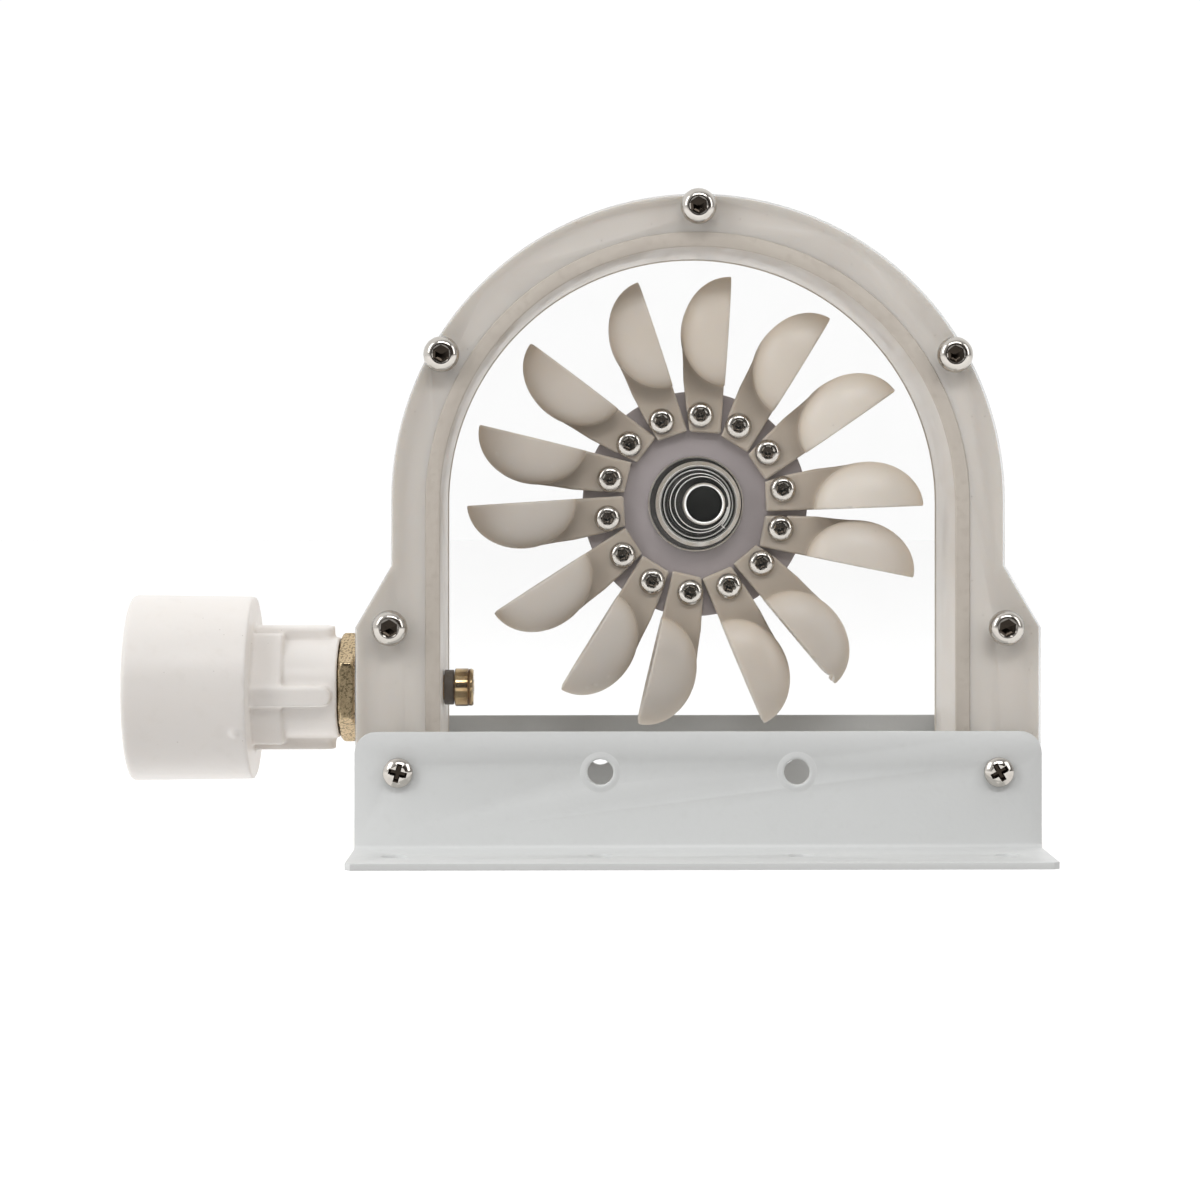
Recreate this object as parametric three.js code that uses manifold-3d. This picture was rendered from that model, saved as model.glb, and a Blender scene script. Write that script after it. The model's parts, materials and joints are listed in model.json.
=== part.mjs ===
// A bench-sized Pelton turbine: an arched nylon housing between two clear panels, a wheel of
// fourteen bolted twin-cup buckets, a pipe adapter with a brass nozzle, and two angle brackets.
// Millimetres. X runs to the right, Y from the front panel to the rear one, and Z up.
// Pieces are drawn about the wheel's axis and the finished group is lifted onto its brackets.

import * as THREE from 'three';
import { mergeVertices } from 'three/addons/utils/BufferGeometryUtils.js';
import Module from 'manifold-3d';

const wasm = await Module();
wasm.setup();

// ---------- Driving dimensions ----------

const GAP = 0.3;                  // left between pieces that touch

const SPAN = 200;                 // across the housing's legs and the brackets
const AXIS_HEIGHT = 102;          // wheel axis above the bench
const ARCH_RADIUS = 89.5;         // outside of the housing's arch
const ARCH_LIFT = 1;              // arch centre above the wheel axis
const CHAMBER_RADIUS = 75.8;      // inside of the arch, about the wheel axis
const ARCH_STEPS = 36;            // straight pieces in each half circle of the housing
const SIDE_END = -18;             // where the straight sides turn out to the shoulders
const SHOULDER_END = -36;         // where the shoulders reach the full span
const FOOT_CLEARANCE = 1;         // under the housing's legs
const LOBE_RADIUS = 5.4;          // ears that carry the upper bolts

const OVER_BRACKETS = 68;         // front face of one bracket to rear face of the other
const BRACKET_THICK = 2;
const BRACKET_HEIGHT = 35.8;
const BRACKET_BEND = 3.4;         // outside radius between the upright and the flange
const BRACKET_CORNER = 6.2;       // upper corners
const FLANGE_CLIP = 1.6;          // taken off the flange's outer corners
const FLANGE_REACH = 35.5;        // beyond the bracket's upright face
const WINDOW_THICK = 4;
const GASKET_WIDTH = 4;
const GASKET_DEPTH = 1.5;

const BOLT_CIRCLE = 86.4;         // upper housing bolts
const BOLT_CIRCLE_LIFT = 0.4;     // its centre above the wheel axis
const LOWER_BOLT_X = 89.9;
const LOWER_BOLT_Z = -36.1;
const BOLT_RADIUS = 3;
const BOLT_HEAD_RADIUS = 5.25;
const BOLT_HEAD_HEIGHT = 3.3;
const BOLT_CROWN_RADIUS = 3.2;    // flat round the socket
const BOLT_SOCKET = 4.5;          // across flats
const BOLT_SOCKET_DEPTH = 2;
const NUT_CORNER_RADIUS = 5.77;
const NUT_THICK = 5;
const BOLT_TAIL = 1.5;            // beyond the nut

const SCREW_X = 87.3;             // bracket screws
const HOLE_X = 28.6;              // open holes between them
const HOLE_RADIUS = 3.8;
const BRACKET_HOLE_Z = 24.1 - AXIS_HEIGHT;
const FLANGE_HOLE_REACH = 18;
const SCREW_RADIUS = 2.1;
const SCREW_HEAD_RADIUS = 4.25;
const SCREW_HEAD_HEIGHT = 2.8;
const SCREW_CROWN_RADIUS = 2.9;
const SCREW_HEAD_RIM = 1.3;       // upright part of the head's edge
const CROSS_HALF_LENGTH = 2.3;
const CROSS_HALF_WIDTH = 0.5;
const CROSS_DEPTH = 1.4;
const SCREW_LENGTH = 22;

const JET_DROP = -55.3;           // jet axis below the wheel axis
const ADAPTER_END = -169;         // open end of the pipe socket
const SOCKET_END = -132.5;
const HEX_COLLAR_END = -123.1;
const RIB_END = -108.3;
const ADAPTER_TIP = -106.9;
const SOCKET_RADIUS = 27.85;
const SOCKET_TIP_RADIUS = 27.4;
const SOCKET_BORE = 25;
const SOCKET_DEPTH = 30;
const SOCKET_FLOOR_BORE = 21;     // where the socket's floor meets the cone to the throat
const SOCKET_CHAMFER = 1.2;
const THROAT_RADIUS = 13.3;
const NECK_RADIUS = 15.2;
const HEX_COLLAR_CORNER = 19;
const RIB_RADIUS = 18.65;
const RIB_WIDTH = 6;
const RIB_TURN = 5.6;             // degrees the ribs stand away from straight up and across
const HEX_NUT_CORNER = 16.5;      // brass fitting, corner radius
const HEX_NUT_THICK = 5.2;
const FITTING_STUB = 13;          // glued into the adapter's throat
const NIPPLE_RADIUS = 10.5;       // brass thread through the left leg
const NIPPLE_END = -79;
const INLET_WASHER_RADIUS = 15;
const NOZZLE_STEM = 3.8;
const NOZZLE_STEM_START = -94;
const NOZZLE_SUPPLY = 2.9;        // bore that feeds the mouth
const NOZZLE_SUPPLY_LENGTH = 10;
const NOZZLE_MOUTH = 2;
const NOZZLE_COLLAR_RADIUS = 5.25;
const NOZZLE_COLLAR_LENGTH = 2.8;
const NOZZLE_HEAD_RADIUS = 5.7;
const NOZZLE_HEAD_LENGTH = 5.6;

const BUCKETS = 14;
const FIRST_BUCKET = THREE.MathUtils.degToRad(3.4);
const BUCKET_ROOT = 21.6;         // inner end of a bucket's plate
const BLADE_SCREW_CIRCLE = 26.8;
const BLADE_SCREW_HOLE = 2.2;
const PLATE_THICK = 3;
const PLATE_BACK = [[-5.8, 37], [-4.1, 27], [-2.9, BUCKET_ROOT]];  // back edge, down to the root
const WEB_INSET = 2.4;            // of the splitter's end from the cups' ends
const RIM = 6.5;                  // rim plane, off the bucket's own radius
const CUP_CENTRE = 52.1;          // radius at the middle of the cups
const CUP_LENGTH = 16.5;          // half the cups' length
const CUP_DEPTH = 13.9;
const CUP_OFFSET = 6.2;           // middle of each cup in front of or behind the splitter
const CUP_HALF_WIDTH = 6.8;
const CUP_WALL = 1.6;
const ROOT_REACH = 28;            // neighbouring roots come close only within this radius
const ROOT_SHARE_START = 17.2;    // degrees past a bucket's radius where the next root begins

// How far each bucket has been swung about its own screw by hand, degrees clockwise from the front
const SWUNG = [0.2, 2.5, 0.5, 7.4, -4.8, 8.1, -0.6, 9.8, 2.6, 2.2, 5.8, -2.5, -5, 3.9];

const DISC_RADIUS = 34;
const DISC_THICK = 6;
const BOSS_RADIUS = 13;           // on the back of the disc
const BOSS_LENGTH = 9;
const SHAFT_RADIUS = 6.3;
const SHAFT_NOSE = -3;            // front end of the shaft, inside the seal
const SHAFT_TAIL = 66;
const COUPLING_RADIUS = 5;        // thinner end of the shaft, behind the bearing
const COUPLING_LENGTH = 12;
const HUB_WASHER_RADIUS = 14.4;
const HUB_WASHER_THICK = 2;
const SEAL_WALL = 1.2;
const SEAL_CUP_RADIUS = 12.8;
const SEAL_CUP_BORE = 10.6;
const SEAL_CUP_DEPTH = 5.6;
const BELLOWS_RADIUS = 10.3;
const BELLOWS_BORE = 8.1;
const BELLOWS_LENGTH = 6.5;
const SEAL_SHIFT = 0.8;           // the seal sits off the axis, towards +X
const SLEEVE_SHIFT = 2.2;         // and so does its sleeve
const SLEEVE_RADIUS = 6.3;
const SLEEVE_BORE = 5.4;
const SLEEVE_NOSE = -16;
const BEARING_NECK = 15;
const BEARING_FLANGE = 26;
const BEARING_FLANGE_THICK = 4;
const BEARING_BOSS = 18;
const BEARING_LENGTH = 18;        // behind the rear window
const BEARING_NOSE = 3;           // how far its neck reaches into the chamber

// Faces along Y, all mirrored from front to back
const BRACKET_FACE = OVER_BRACKETS / 2;
const WINDOW_FACE = BRACKET_FACE - BRACKET_THICK - GAP;
const FRAME_FACE = WINDOW_FACE - WINDOW_THICK - GAP;
const BENCH = -AXIS_HEIGHT;

// ---------- Solids ----------

function solidOf(geometry) {
  const bare = geometry.index ? geometry.clone() : mergeVertices(geometry);
  bare.deleteAttribute('normal');
  bare.deleteAttribute('uv');
  const merged = mergeVertices(bare, 1e-4);
  const mesh = new wasm.Mesh({
    numProp: 3,
    vertProperties: new Float32Array(merged.attributes.position.array),
    triVerts: new Uint32Array(merged.index.array),
  });
  return new wasm.Manifold(mesh);
}

function geometryOf(solid) {
  const mesh = solid.getMesh();
  const geometry = new THREE.BufferGeometry();
  geometry.setAttribute('position', new THREE.BufferAttribute(mesh.vertProperties, 3));
  geometry.setIndex(new THREE.BufferAttribute(mesh.triVerts, 1));
  geometry.computeVertexNormals();
  return geometry;
}

// A shape drawn in X and Z, as thick as from one Y to the other
function upright(shape, yFront, yRear, curveSegments = 12) {
  const options = { depth: yRear - yFront, bevelEnabled: false, curveSegments };
  const geometry = new THREE.ExtrudeGeometry(shape, options);
  geometry.rotateX(Math.PI / 2);
  geometry.translate(0, yRear, 0);
  return solidOf(geometry);
}

function box(low, high) {
  const size = high.map((value, i) => value - low[i]);
  const geometry = new THREE.BoxGeometry(...size);
  geometry.translate(...low.map((value, i) => value + size[i] / 2));
  return solidOf(geometry);
}

// A turned piece: its profile is pairs of radius and place along the axis, which starts along Y
function turned(profile, segments) {
  const points = profile.map(([radius, along]) => new THREE.Vector2(radius, along));
  return solidOf(new THREE.LatheGeometry(points, segments));
}

function rod(radius, start, end, segments = 16) {
  return turned([[0, start], [radius, start], [radius, end], [0, end]], segments);
}

function ring(outer, inner, start, end, segments = 32) {
  const profile = [[inner, start], [outer, start], [outer, end], [inner, end], [inner, start]];
  return turned(profile, segments);
}

function prism(sides, cornerRadius, start, end) {
  return rod(cornerRadius, start, end, sides);
}

const alongX = (solid) => solid.rotate([0, 0, -90]);

function merge(solids) {
  return solids.reduce((all, solid) => all.add(solid));
}

// ---------- Housing ----------

function housingOutline() {
  const foot = BENCH + FOOT_CLEARANCE;
  const shape = new THREE.Shape();
  shape.moveTo(-SPAN / 2, foot);
  shape.lineTo(SPAN / 2, foot);
  shape.lineTo(SPAN / 2, SHOULDER_END);
  shape.lineTo(ARCH_RADIUS, SIDE_END);
  shape.absarc(0, ARCH_LIFT, ARCH_RADIUS, 0, Math.PI, false);
  shape.lineTo(-ARCH_RADIUS, SIDE_END);
  shape.lineTo(-SPAN / 2, SHOULDER_END);
  return shape;
}

function chamberShape(growth) {
  const half = CHAMBER_RADIUS + growth;
  const shape = new THREE.Shape();
  shape.moveTo(-half, BENCH);
  shape.lineTo(half, BENCH);
  shape.absarc(0, 0, half, 0, Math.PI, false);
  return shape;
}

const boltPlaces = [
  ...[30, 90, 150].map((degrees) => {
    const angle = THREE.MathUtils.degToRad(degrees);
    return [BOLT_CIRCLE * Math.cos(angle), BOLT_CIRCLE_LIFT + BOLT_CIRCLE * Math.sin(angle)];
  }),
  [-LOWER_BOLT_X, LOWER_BOLT_Z],
  [LOWER_BOLT_X, LOWER_BOLT_Z],
];

function boltHoles(yFront, yRear) {
  return merge(boltPlaces.map(([x, z]) => (
    rod(BOLT_RADIUS + GAP, yFront, yRear, 8).translate([x, 0, z])
  )));
}

// The housing's outline with an ear behind each upper bolt, and the bolt holes through it
function panel(yFront, yRear) {
  const ears = boltPlaces.slice(0, 3).map(([x, z]) => (
    rod(LOBE_RADIUS, yFront, yRear, 16).translate([x, 0, z])
  ));
  const plate = upright(housingOutline(), yFront, yRear, ARCH_STEPS);
  return plate.add(merge(ears)).subtract(boltHoles(yFront - 1, yRear + 1));
}

function screwHoles() {
  const holes = [];
  for (const side of [-1, 1]) {
    for (const x of [-SCREW_X, SCREW_X]) {
      const deep = WINDOW_FACE + BRACKET_THICK - SCREW_LENGTH - GAP;
      const hole = side < 0
        ? rod(SCREW_RADIUS + GAP, -BRACKET_FACE - 1, -deep, 8)
        : rod(SCREW_RADIUS + GAP, deep, BRACKET_FACE + 1, 8);
      holes.push(hole.translate([x, 0, BRACKET_HOLE_Z]));
    }
  }
  return merge(holes);
}

function housingFrame() {
  const chamber = upright(chamberShape(0), -FRAME_FACE - 1, FRAME_FACE + 1, ARCH_STEPS);
  const frontRebate = upright(chamberShape(GASKET_WIDTH), -FRAME_FACE - 1,
    -FRAME_FACE + GASKET_DEPTH, ARCH_STEPS);
  const rearRebate = upright(chamberShape(GASKET_WIDTH), FRAME_FACE - GASKET_DEPTH,
    FRAME_FACE + 1, ARCH_STEPS);
  const inlet = alongX(rod(NIPPLE_RADIUS + GAP, -SPAN / 2 - 1, NIPPLE_END, 20));
  const stem = alongX(rod(NOZZLE_STEM + GAP, NIPPLE_END - 1, 1 - CHAMBER_RADIUS, 12));
  return panel(-FRAME_FACE, FRAME_FACE)
    .subtract(chamber)
    .subtract(frontRebate)
    .subtract(rearRebate)
    .subtract(screwHoles())
    .subtract(inlet.add(stem).translate([0, 0, JET_DROP]));
}

function windowPane(side) {
  const inner = FRAME_FACE + GAP;
  const pane = side < 0 ? panel(-WINDOW_FACE, -inner) : panel(inner, WINDOW_FACE);
  return pane.subtract(screwHoles());
}

function rearWindow() {
  return windowPane(1).subtract(rod(BEARING_NECK + GAP, 0, BRACKET_FACE, 24));
}

// A flat seal in the rebate round the chamber, pressed by the window
function gasket(side) {
  const near = FRAME_FACE - GASKET_DEPTH + GAP;
  const outline = chamberShape(GASKET_WIDTH - GAP);
  const trimmed = upright(outline, near, FRAME_FACE, ARCH_STEPS)
    .subtract(upright(chamberShape(0), 0, BRACKET_FACE, ARCH_STEPS))
    .subtract(box([-SPAN, 0, BENCH - 1], [SPAN, BRACKET_FACE, BENCH + FOOT_CLEARANCE]));
  return side < 0 ? trimmed.mirror([0, 1, 0]) : trimmed;
}

// ---------- Fasteners ----------

function housingBolt() {
  const headBase = -WINDOW_FACE - GAP;
  const headTop = headBase - BOLT_HEAD_HEIGHT;
  const nutBase = WINDOW_FACE + GAP;
  const head = turned([
    [0, headTop], [BOLT_CROWN_RADIUS, headTop], [BOLT_HEAD_RADIUS - 0.75, headTop + 0.7],
    [BOLT_HEAD_RADIUS, headBase - 0.6], [BOLT_HEAD_RADIUS, headBase], [0, headBase],
  ], 12);
  const socketCorner = BOLT_SOCKET / Math.sqrt(3);
  const socket = prism(6, socketCorner, headTop - 1, headTop + BOLT_SOCKET_DEPTH);
  const shank = rod(BOLT_RADIUS, headBase - 1, nutBase + NUT_THICK + BOLT_TAIL, 8);
  const nut = prism(6, NUT_CORNER_RADIUS, nutBase, nutBase + NUT_THICK);
  return head.add(shank).add(nut).subtract(socket);
}

function bracketScrew(side) {
  const headBase = -BRACKET_FACE - GAP;
  const headTop = headBase - SCREW_HEAD_HEIGHT;
  const head = turned([
    [0, headTop], [SCREW_CROWN_RADIUS, headTop], [SCREW_HEAD_RADIUS, headBase - SCREW_HEAD_RIM],
    [SCREW_HEAD_RADIUS, headBase], [0, headBase],
  ], 12);
  const slot = box([-CROSS_HALF_LENGTH, headTop - 1, -CROSS_HALF_WIDTH],
    [CROSS_HALF_LENGTH, headTop + CROSS_DEPTH, CROSS_HALF_WIDTH]);
  const cross = slot.add(slot.rotate([0, 90, 0]));
  const shank = rod(SCREW_RADIUS, headBase - 1, headBase + SCREW_LENGTH, 8);
  const screw = head.add(shank).subtract(cross);
  return side < 0 ? screw : screw.mirror([0, 1, 0]);
}

// ---------- Angle brackets ----------

function frontBracket() {
  const back = -BRACKET_FACE + BRACKET_THICK;
  const lip = -BRACKET_FACE - FLANGE_REACH;
  const bend = BRACKET_BEND;
  const inside = bend - BRACKET_THICK;
  const section = new THREE.Shape();
  section.moveTo(lip, BENCH);
  section.lineTo(back - bend, BENCH);
  section.absarc(back - bend, BENCH + bend, bend, -Math.PI / 2, 0, false);
  section.lineTo(back, BENCH + BRACKET_HEIGHT);
  section.lineTo(-BRACKET_FACE, BENCH + BRACKET_HEIGHT);
  section.lineTo(-BRACKET_FACE, BENCH + bend);
  section.absarc(back - bend, BENCH + bend, inside, 0, -Math.PI / 2, true);
  section.lineTo(lip, BENCH + BRACKET_THICK);
  const options = { depth: SPAN, bevelEnabled: false, curveSegments: 4 };
  const geometry = new THREE.ExtrudeGeometry(section, options);
  geometry.rotateX(Math.PI / 2);
  geometry.rotateZ(Math.PI / 2);
  geometry.translate(-SPAN / 2, 0, 0);
  const angle = solidOf(geometry);

  const corner = BRACKET_CORNER;
  const top = BENCH + BRACKET_HEIGHT;
  const mask = new THREE.Shape();
  mask.moveTo(-SPAN / 2, BENCH - 1);
  mask.lineTo(SPAN / 2, BENCH - 1);
  mask.lineTo(SPAN / 2, top - corner);
  mask.absarc(SPAN / 2 - corner, top - corner, corner, 0, Math.PI / 2, false);
  mask.lineTo(corner - SPAN / 2, top);
  mask.absarc(corner - SPAN / 2, top - corner, corner, Math.PI / 2, Math.PI, false);
  const rounded = angle.intersect(upright(mask, lip - 1, 0, 4));

  const lipCorners = [-1, 1].map((end) => (
    rod(FLANGE_CLIP, -1, BRACKET_THICK + 1, 4)
      .rotate([90, 0, 0])
      .translate([end * SPAN / 2, lip, BENCH])
  ));
  const uprightHoles = [-HOLE_X, HOLE_X].map((x) => (
    rod(HOLE_RADIUS, -BRACKET_FACE - 1, back + 1, 16).translate([x, 0, BRACKET_HOLE_Z])
  ));
  const screwPassages = [-SCREW_X, SCREW_X].map((x) => (
    rod(SCREW_RADIUS + GAP, -BRACKET_FACE - 1, back + 1, 8).translate([x, 0, BRACKET_HOLE_Z])
  ));
  const flangeHoles = [-SCREW_X, -HOLE_X, HOLE_X, SCREW_X].map((x) => (
    rod(HOLE_RADIUS, -3, BRACKET_THICK + 3, 12)
      .rotate([90, 0, 0])
      .translate([x, -BRACKET_FACE - FLANGE_HOLE_REACH, BENCH])
  ));
  return rounded
    .subtract(merge([...uprightHoles, ...screwPassages, ...flangeHoles]))
    .subtract(merge(lipCorners));
}

// ---------- Water inlet ----------

function pipeAdapter() {
  const shell = turned([
    [SOCKET_BORE, ADAPTER_END],
    [SOCKET_RADIUS - 0.8, ADAPTER_END],
    [SOCKET_RADIUS, ADAPTER_END + 0.8],
    [SOCKET_TIP_RADIUS, SOCKET_END - SOCKET_CHAMFER],
    [SOCKET_TIP_RADIUS - SOCKET_CHAMFER, SOCKET_END],
    [NECK_RADIUS, SOCKET_END],
    [NECK_RADIUS, ADAPTER_TIP],
    [THROAT_RADIUS, ADAPTER_TIP],
    [THROAT_RADIUS, SOCKET_END],
    [SOCKET_FLOOR_BORE, ADAPTER_END + SOCKET_DEPTH + 1.5],
    [SOCKET_BORE - 1, ADAPTER_END + SOCKET_DEPTH],
    [SOCKET_BORE, ADAPTER_END],
  ], 28);
  const hexCollar = prism(6, HEX_COLLAR_CORNER, SOCKET_END - 1, HEX_COLLAR_END)
    .subtract(rod(NECK_RADIUS - 1, SOCKET_END - 2, HEX_COLLAR_END + 1, 28))
    .rotate([0, 30, 0]);
  const rib = box([-RIB_WIDTH / 2, SOCKET_END - 1, NECK_RADIUS - 1],
    [RIB_WIDTH / 2, RIB_END, RIB_RADIUS]);
  const ribs = [0, 90, 180, 270].map((degrees) => rib.rotate([0, degrees + RIB_TURN, 0]));
  return alongX(merge([shell, hexCollar, ...ribs])).translate([0, 0, JET_DROP]);
}

function brassFitting() {
  const hexStart = ADAPTER_TIP + GAP;
  const hexEnd = hexStart + HEX_NUT_THICK;
  const stub = rod(THROAT_RADIUS - GAP, hexStart - FITTING_STUB, hexStart + 1, 20);
  const hex = prism(6, HEX_NUT_CORNER, hexStart, hexEnd);
  const nipple = rod(NIPPLE_RADIUS, hexEnd - 1, NIPPLE_END - GAP, 20);
  const bore = rod(NOZZLE_STEM + GAP, hexStart - FITTING_STUB - 1, NIPPLE_END + 1, 12);
  return alongX(merge([stub, hex, nipple]).subtract(bore)).translate([0, 0, JET_DROP]);
}

function inletWasher() {
  const start = ADAPTER_TIP + HEX_NUT_THICK + 2 * GAP;
  const washer = ring(INLET_WASHER_RADIUS, NIPPLE_RADIUS + GAP, start, -SPAN / 2 - GAP, 24);
  return alongX(washer).translate([0, 0, JET_DROP]);
}

function nozzleCollar() {
  const start = GAP - CHAMBER_RADIUS;
  const collar = ring(NOZZLE_COLLAR_RADIUS, NOZZLE_STEM + GAP, start,
    start + NOZZLE_COLLAR_LENGTH, 20);
  return alongX(collar).translate([0, 0, JET_DROP]);
}

function nozzleTip() {
  const start = NOZZLE_STEM_START;
  const headStart = -CHAMBER_RADIUS + NOZZLE_COLLAR_LENGTH + 2 * GAP;
  const headEnd = headStart + NOZZLE_HEAD_LENGTH;
  const body = turned([
    [0, start], [NOZZLE_STEM, start], [NOZZLE_STEM, headStart],
    [NOZZLE_HEAD_RADIUS - 0.5, headStart], [NOZZLE_HEAD_RADIUS, headStart + 0.5],
    [NOZZLE_HEAD_RADIUS, headEnd - 0.6], [NOZZLE_HEAD_RADIUS - 0.6, headEnd], [0, headEnd],
  ], 16);
  const jet = turned([
    [0, start - 1], [NOZZLE_SUPPLY, start - 1], [NOZZLE_SUPPLY, start + NOZZLE_SUPPLY_LENGTH],
    [NOZZLE_MOUTH, headEnd - 2], [NOZZLE_MOUTH, headEnd + 1], [0, headEnd + 1],
  ], 12);
  return alongX(body.subtract(jet)).translate([0, 0, JET_DROP]);
}

// ---------- Wheel ----------

// One cup's ellipsoid, on the rim plane, shrunk by the wall for its hollow
function cup(shrink, side, across, around) {
  const geometry = new THREE.SphereGeometry(1, around, across);
  geometry.scale(CUP_DEPTH - shrink, CUP_HALF_WIDTH - shrink, CUP_LENGTH - shrink);
  geometry.translate(RIM, side * CUP_OFFSET, CUP_CENTRE);
  return solidOf(geometry);
}

// Takes off what a swung root would push into its neighbours' shares of the disc
function beyondRootShare() {
  const shares = [
    [ROOT_SHARE_START, 1, -GAP / 2],
    [ROOT_SHARE_START - 360 / BUCKETS, -1, GAP / 2],
  ];
  return merge(shares.map(([degrees, side, shift]) => (
    box([side < 0 ? -ROOT_REACH : 0, -PLATE_THICK, 0],
      [side < 0 ? 0 : ROOT_REACH, PLATE_THICK, ROOT_REACH])
      .translate([shift, 0, 0])
      .rotate([0, degrees, 0])
  )));
}

// A bucket stands on the wheel's axis: its radius runs up Z and its rim faces +X
function bucket(swing) {
  const reach = CUP_LENGTH - WEB_INSET;
  const web = new THREE.Shape();
  web.moveTo(RIM, BUCKET_ROOT);
  web.lineTo(RIM, CUP_CENTRE + reach);
  web.absellipse(RIM, CUP_CENTRE, CUP_DEPTH - 1, reach, Math.PI / 2, 1.14 * Math.PI, false, 0);
  PLATE_BACK.forEach(([across, out]) => web.lineTo(across, out));
  const plate = upright(web, -PLATE_THICK / 2, PLATE_THICK / 2, 4);
  const beyondRim = box([RIM, -30, 0], [RIM + 40, 30, 90]);
  const outer = merge([-1, 1].map((side) => cup(0, side, 8, 14)));
  const hollows = merge([-1, 1].map((side) => cup(CUP_WALL, side, 6, 12)));
  const screwHole = rod(BLADE_SCREW_HOLE, -5, 5, 8).translate([0, 0, BLADE_SCREW_CIRCLE]);
  return plate.add(outer.subtract(beyondRim)).subtract(hollows).subtract(screwHole)
    .translate([0, 0, -BLADE_SCREW_CIRCLE])
    .rotate([0, swing, 0])
    .translate([0, 0, BLADE_SCREW_CIRCLE])
    .subtract(beyondRootShare());
}

function rotorDisc() {
  const front = PLATE_THICK / 2 + GAP;
  const back = front + DISC_THICK;
  const disc = turned([
    [SHAFT_RADIUS + GAP, front], [DISC_RADIUS, front], [DISC_RADIUS, back],
    [BOSS_RADIUS, back], [BOSS_RADIUS, back + BOSS_LENGTH],
    [SHAFT_RADIUS + GAP, back + BOSS_LENGTH], [SHAFT_RADIUS + GAP, front],
  ], 42);
  const holes = [];
  for (let i = 0; i < BUCKETS; i += 1) {
    const angle = bucketAngle(i);
    const x = BLADE_SCREW_CIRCLE * Math.sin(angle);
    const z = BLADE_SCREW_CIRCLE * Math.cos(angle);
    holes.push(rod(BLADE_SCREW_HOLE, front - 1, back + 1, 6).translate([x, 0, z]));
  }
  return disc.subtract(merge(holes));
}

function bucketAngle(index) {
  return FIRST_BUCKET + index * 2 * Math.PI / BUCKETS;
}

function hubWasher() {
  const back = PLATE_THICK / 2;
  return ring(HUB_WASHER_RADIUS, SHAFT_RADIUS + GAP, back - HUB_WASHER_THICK, back, 24);
}

// A pressed cup, open to the front, with a rounded lip
function sealCup() {
  const back = PLATE_THICK / 2 - HUB_WASHER_THICK - GAP;
  const hole = SHAFT_RADIUS + SEAL_WALL;
  const lip = back - SEAL_CUP_DEPTH;
  return turned([
    [SEAL_CUP_BORE, lip + 0.6], [SEAL_CUP_RADIUS - 1.2, lip], [SEAL_CUP_RADIUS - 0.4, lip + 0.4],
    [SEAL_CUP_RADIUS, lip + 1.6], [SEAL_CUP_RADIUS, back], [hole, back],
    [hole, back - SEAL_WALL], [SEAL_CUP_BORE, back - SEAL_WALL], [SEAL_CUP_BORE, lip + 0.6],
  ], 24).translate([SEAL_SHIFT, 0, 0]);
}

function sealBellows() {
  const back = PLATE_THICK / 2 - HUB_WASHER_THICK - SEAL_WALL - 2 * GAP;
  const nose = back - BELLOWS_LENGTH;
  return turned([
    [BELLOWS_BORE, nose], [BELLOWS_BORE + 0.8, nose], [BELLOWS_BORE + 1.3, nose + 1.5],
    [BELLOWS_RADIUS, nose + 2.3], [BELLOWS_RADIUS, back], [BELLOWS_BORE, back],
    [BELLOWS_BORE, nose],
  ], 24).translate([SEAL_SHIFT, 0, 0]);
}

function sealSleeve() {
  return ring(SLEEVE_RADIUS, SLEEVE_BORE, SLEEVE_NOSE, SHAFT_NOSE - GAP, 24)
    .translate([SLEEVE_SHIFT, 0, 0]);
}

function shaft() {
  const step = SHAFT_TAIL - COUPLING_LENGTH;
  return turned([
    [0, SHAFT_NOSE], [SHAFT_RADIUS - 0.4, SHAFT_NOSE], [SHAFT_RADIUS, SHAFT_NOSE + 0.4],
    [SHAFT_RADIUS, step], [COUPLING_RADIUS, step], [COUPLING_RADIUS, SHAFT_TAIL - 0.6],
    [COUPLING_RADIUS - 0.6, SHAFT_TAIL], [0, SHAFT_TAIL],
  ], 20);
}

// ---------- Rear bearing ----------

function bearingHousing() {
  const inner = FRAME_FACE - BEARING_NOSE;
  const front = WINDOW_FACE + GAP;
  const flange = front + BEARING_FLANGE_THICK;
  const back = front + BEARING_LENGTH;
  const bore = SHAFT_RADIUS + GAP;
  return turned([
    [bore, inner], [BEARING_NECK, inner], [BEARING_NECK, front], [BEARING_FLANGE, front],
    [BEARING_FLANGE, flange], [BEARING_BOSS, flange], [BEARING_BOSS - 1, back], [bore, back],
    [bore, inner],
  ], 28);
}

// ---------- Assembly ----------

const materials = {
  nylon: { color: 0xcfc8be, roughness: 0.45, metalness: 0 },
  bucketNylon: { color: 0xd8cfc2, roughness: 0.4, metalness: 0 },
  acrylic: { color: 0xf2f5f4, roughness: 0.08, metalness: 0, transparent: true, opacity: 0.25 },
  rubber: { color: 0x3a3836, roughness: 0.8, metalness: 0 },
  gasket: { color: 0xa9a194, roughness: 0.7, metalness: 0 },
  steel: { color: 0xc4c4c2, roughness: 0.25, metalness: 1 },
  powder: { color: 0xd9dbda, roughness: 0.5, metalness: 0 },
  pvc: { color: 0xded7d1, roughness: 0.45, metalness: 0 },
  brass: { color: 0xb9a36a, roughness: 0.35, metalness: 1 },
  washer: { color: 0xe6e2ea, roughness: 0.5, metalness: 0 },
  disc: { color: 0x9b9196, roughness: 0.5, metalness: 0.1 },
  darkSteel: { color: 0x6c6a68, roughness: 0.4, metalness: 0.9 },
};

function mesh(name, solid, finish) {
  const piece = new THREE.Mesh(geometryOf(solid), new THREE.MeshStandardMaterial(materials[finish]));
  piece.name = name;
  return piece;
}

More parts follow.
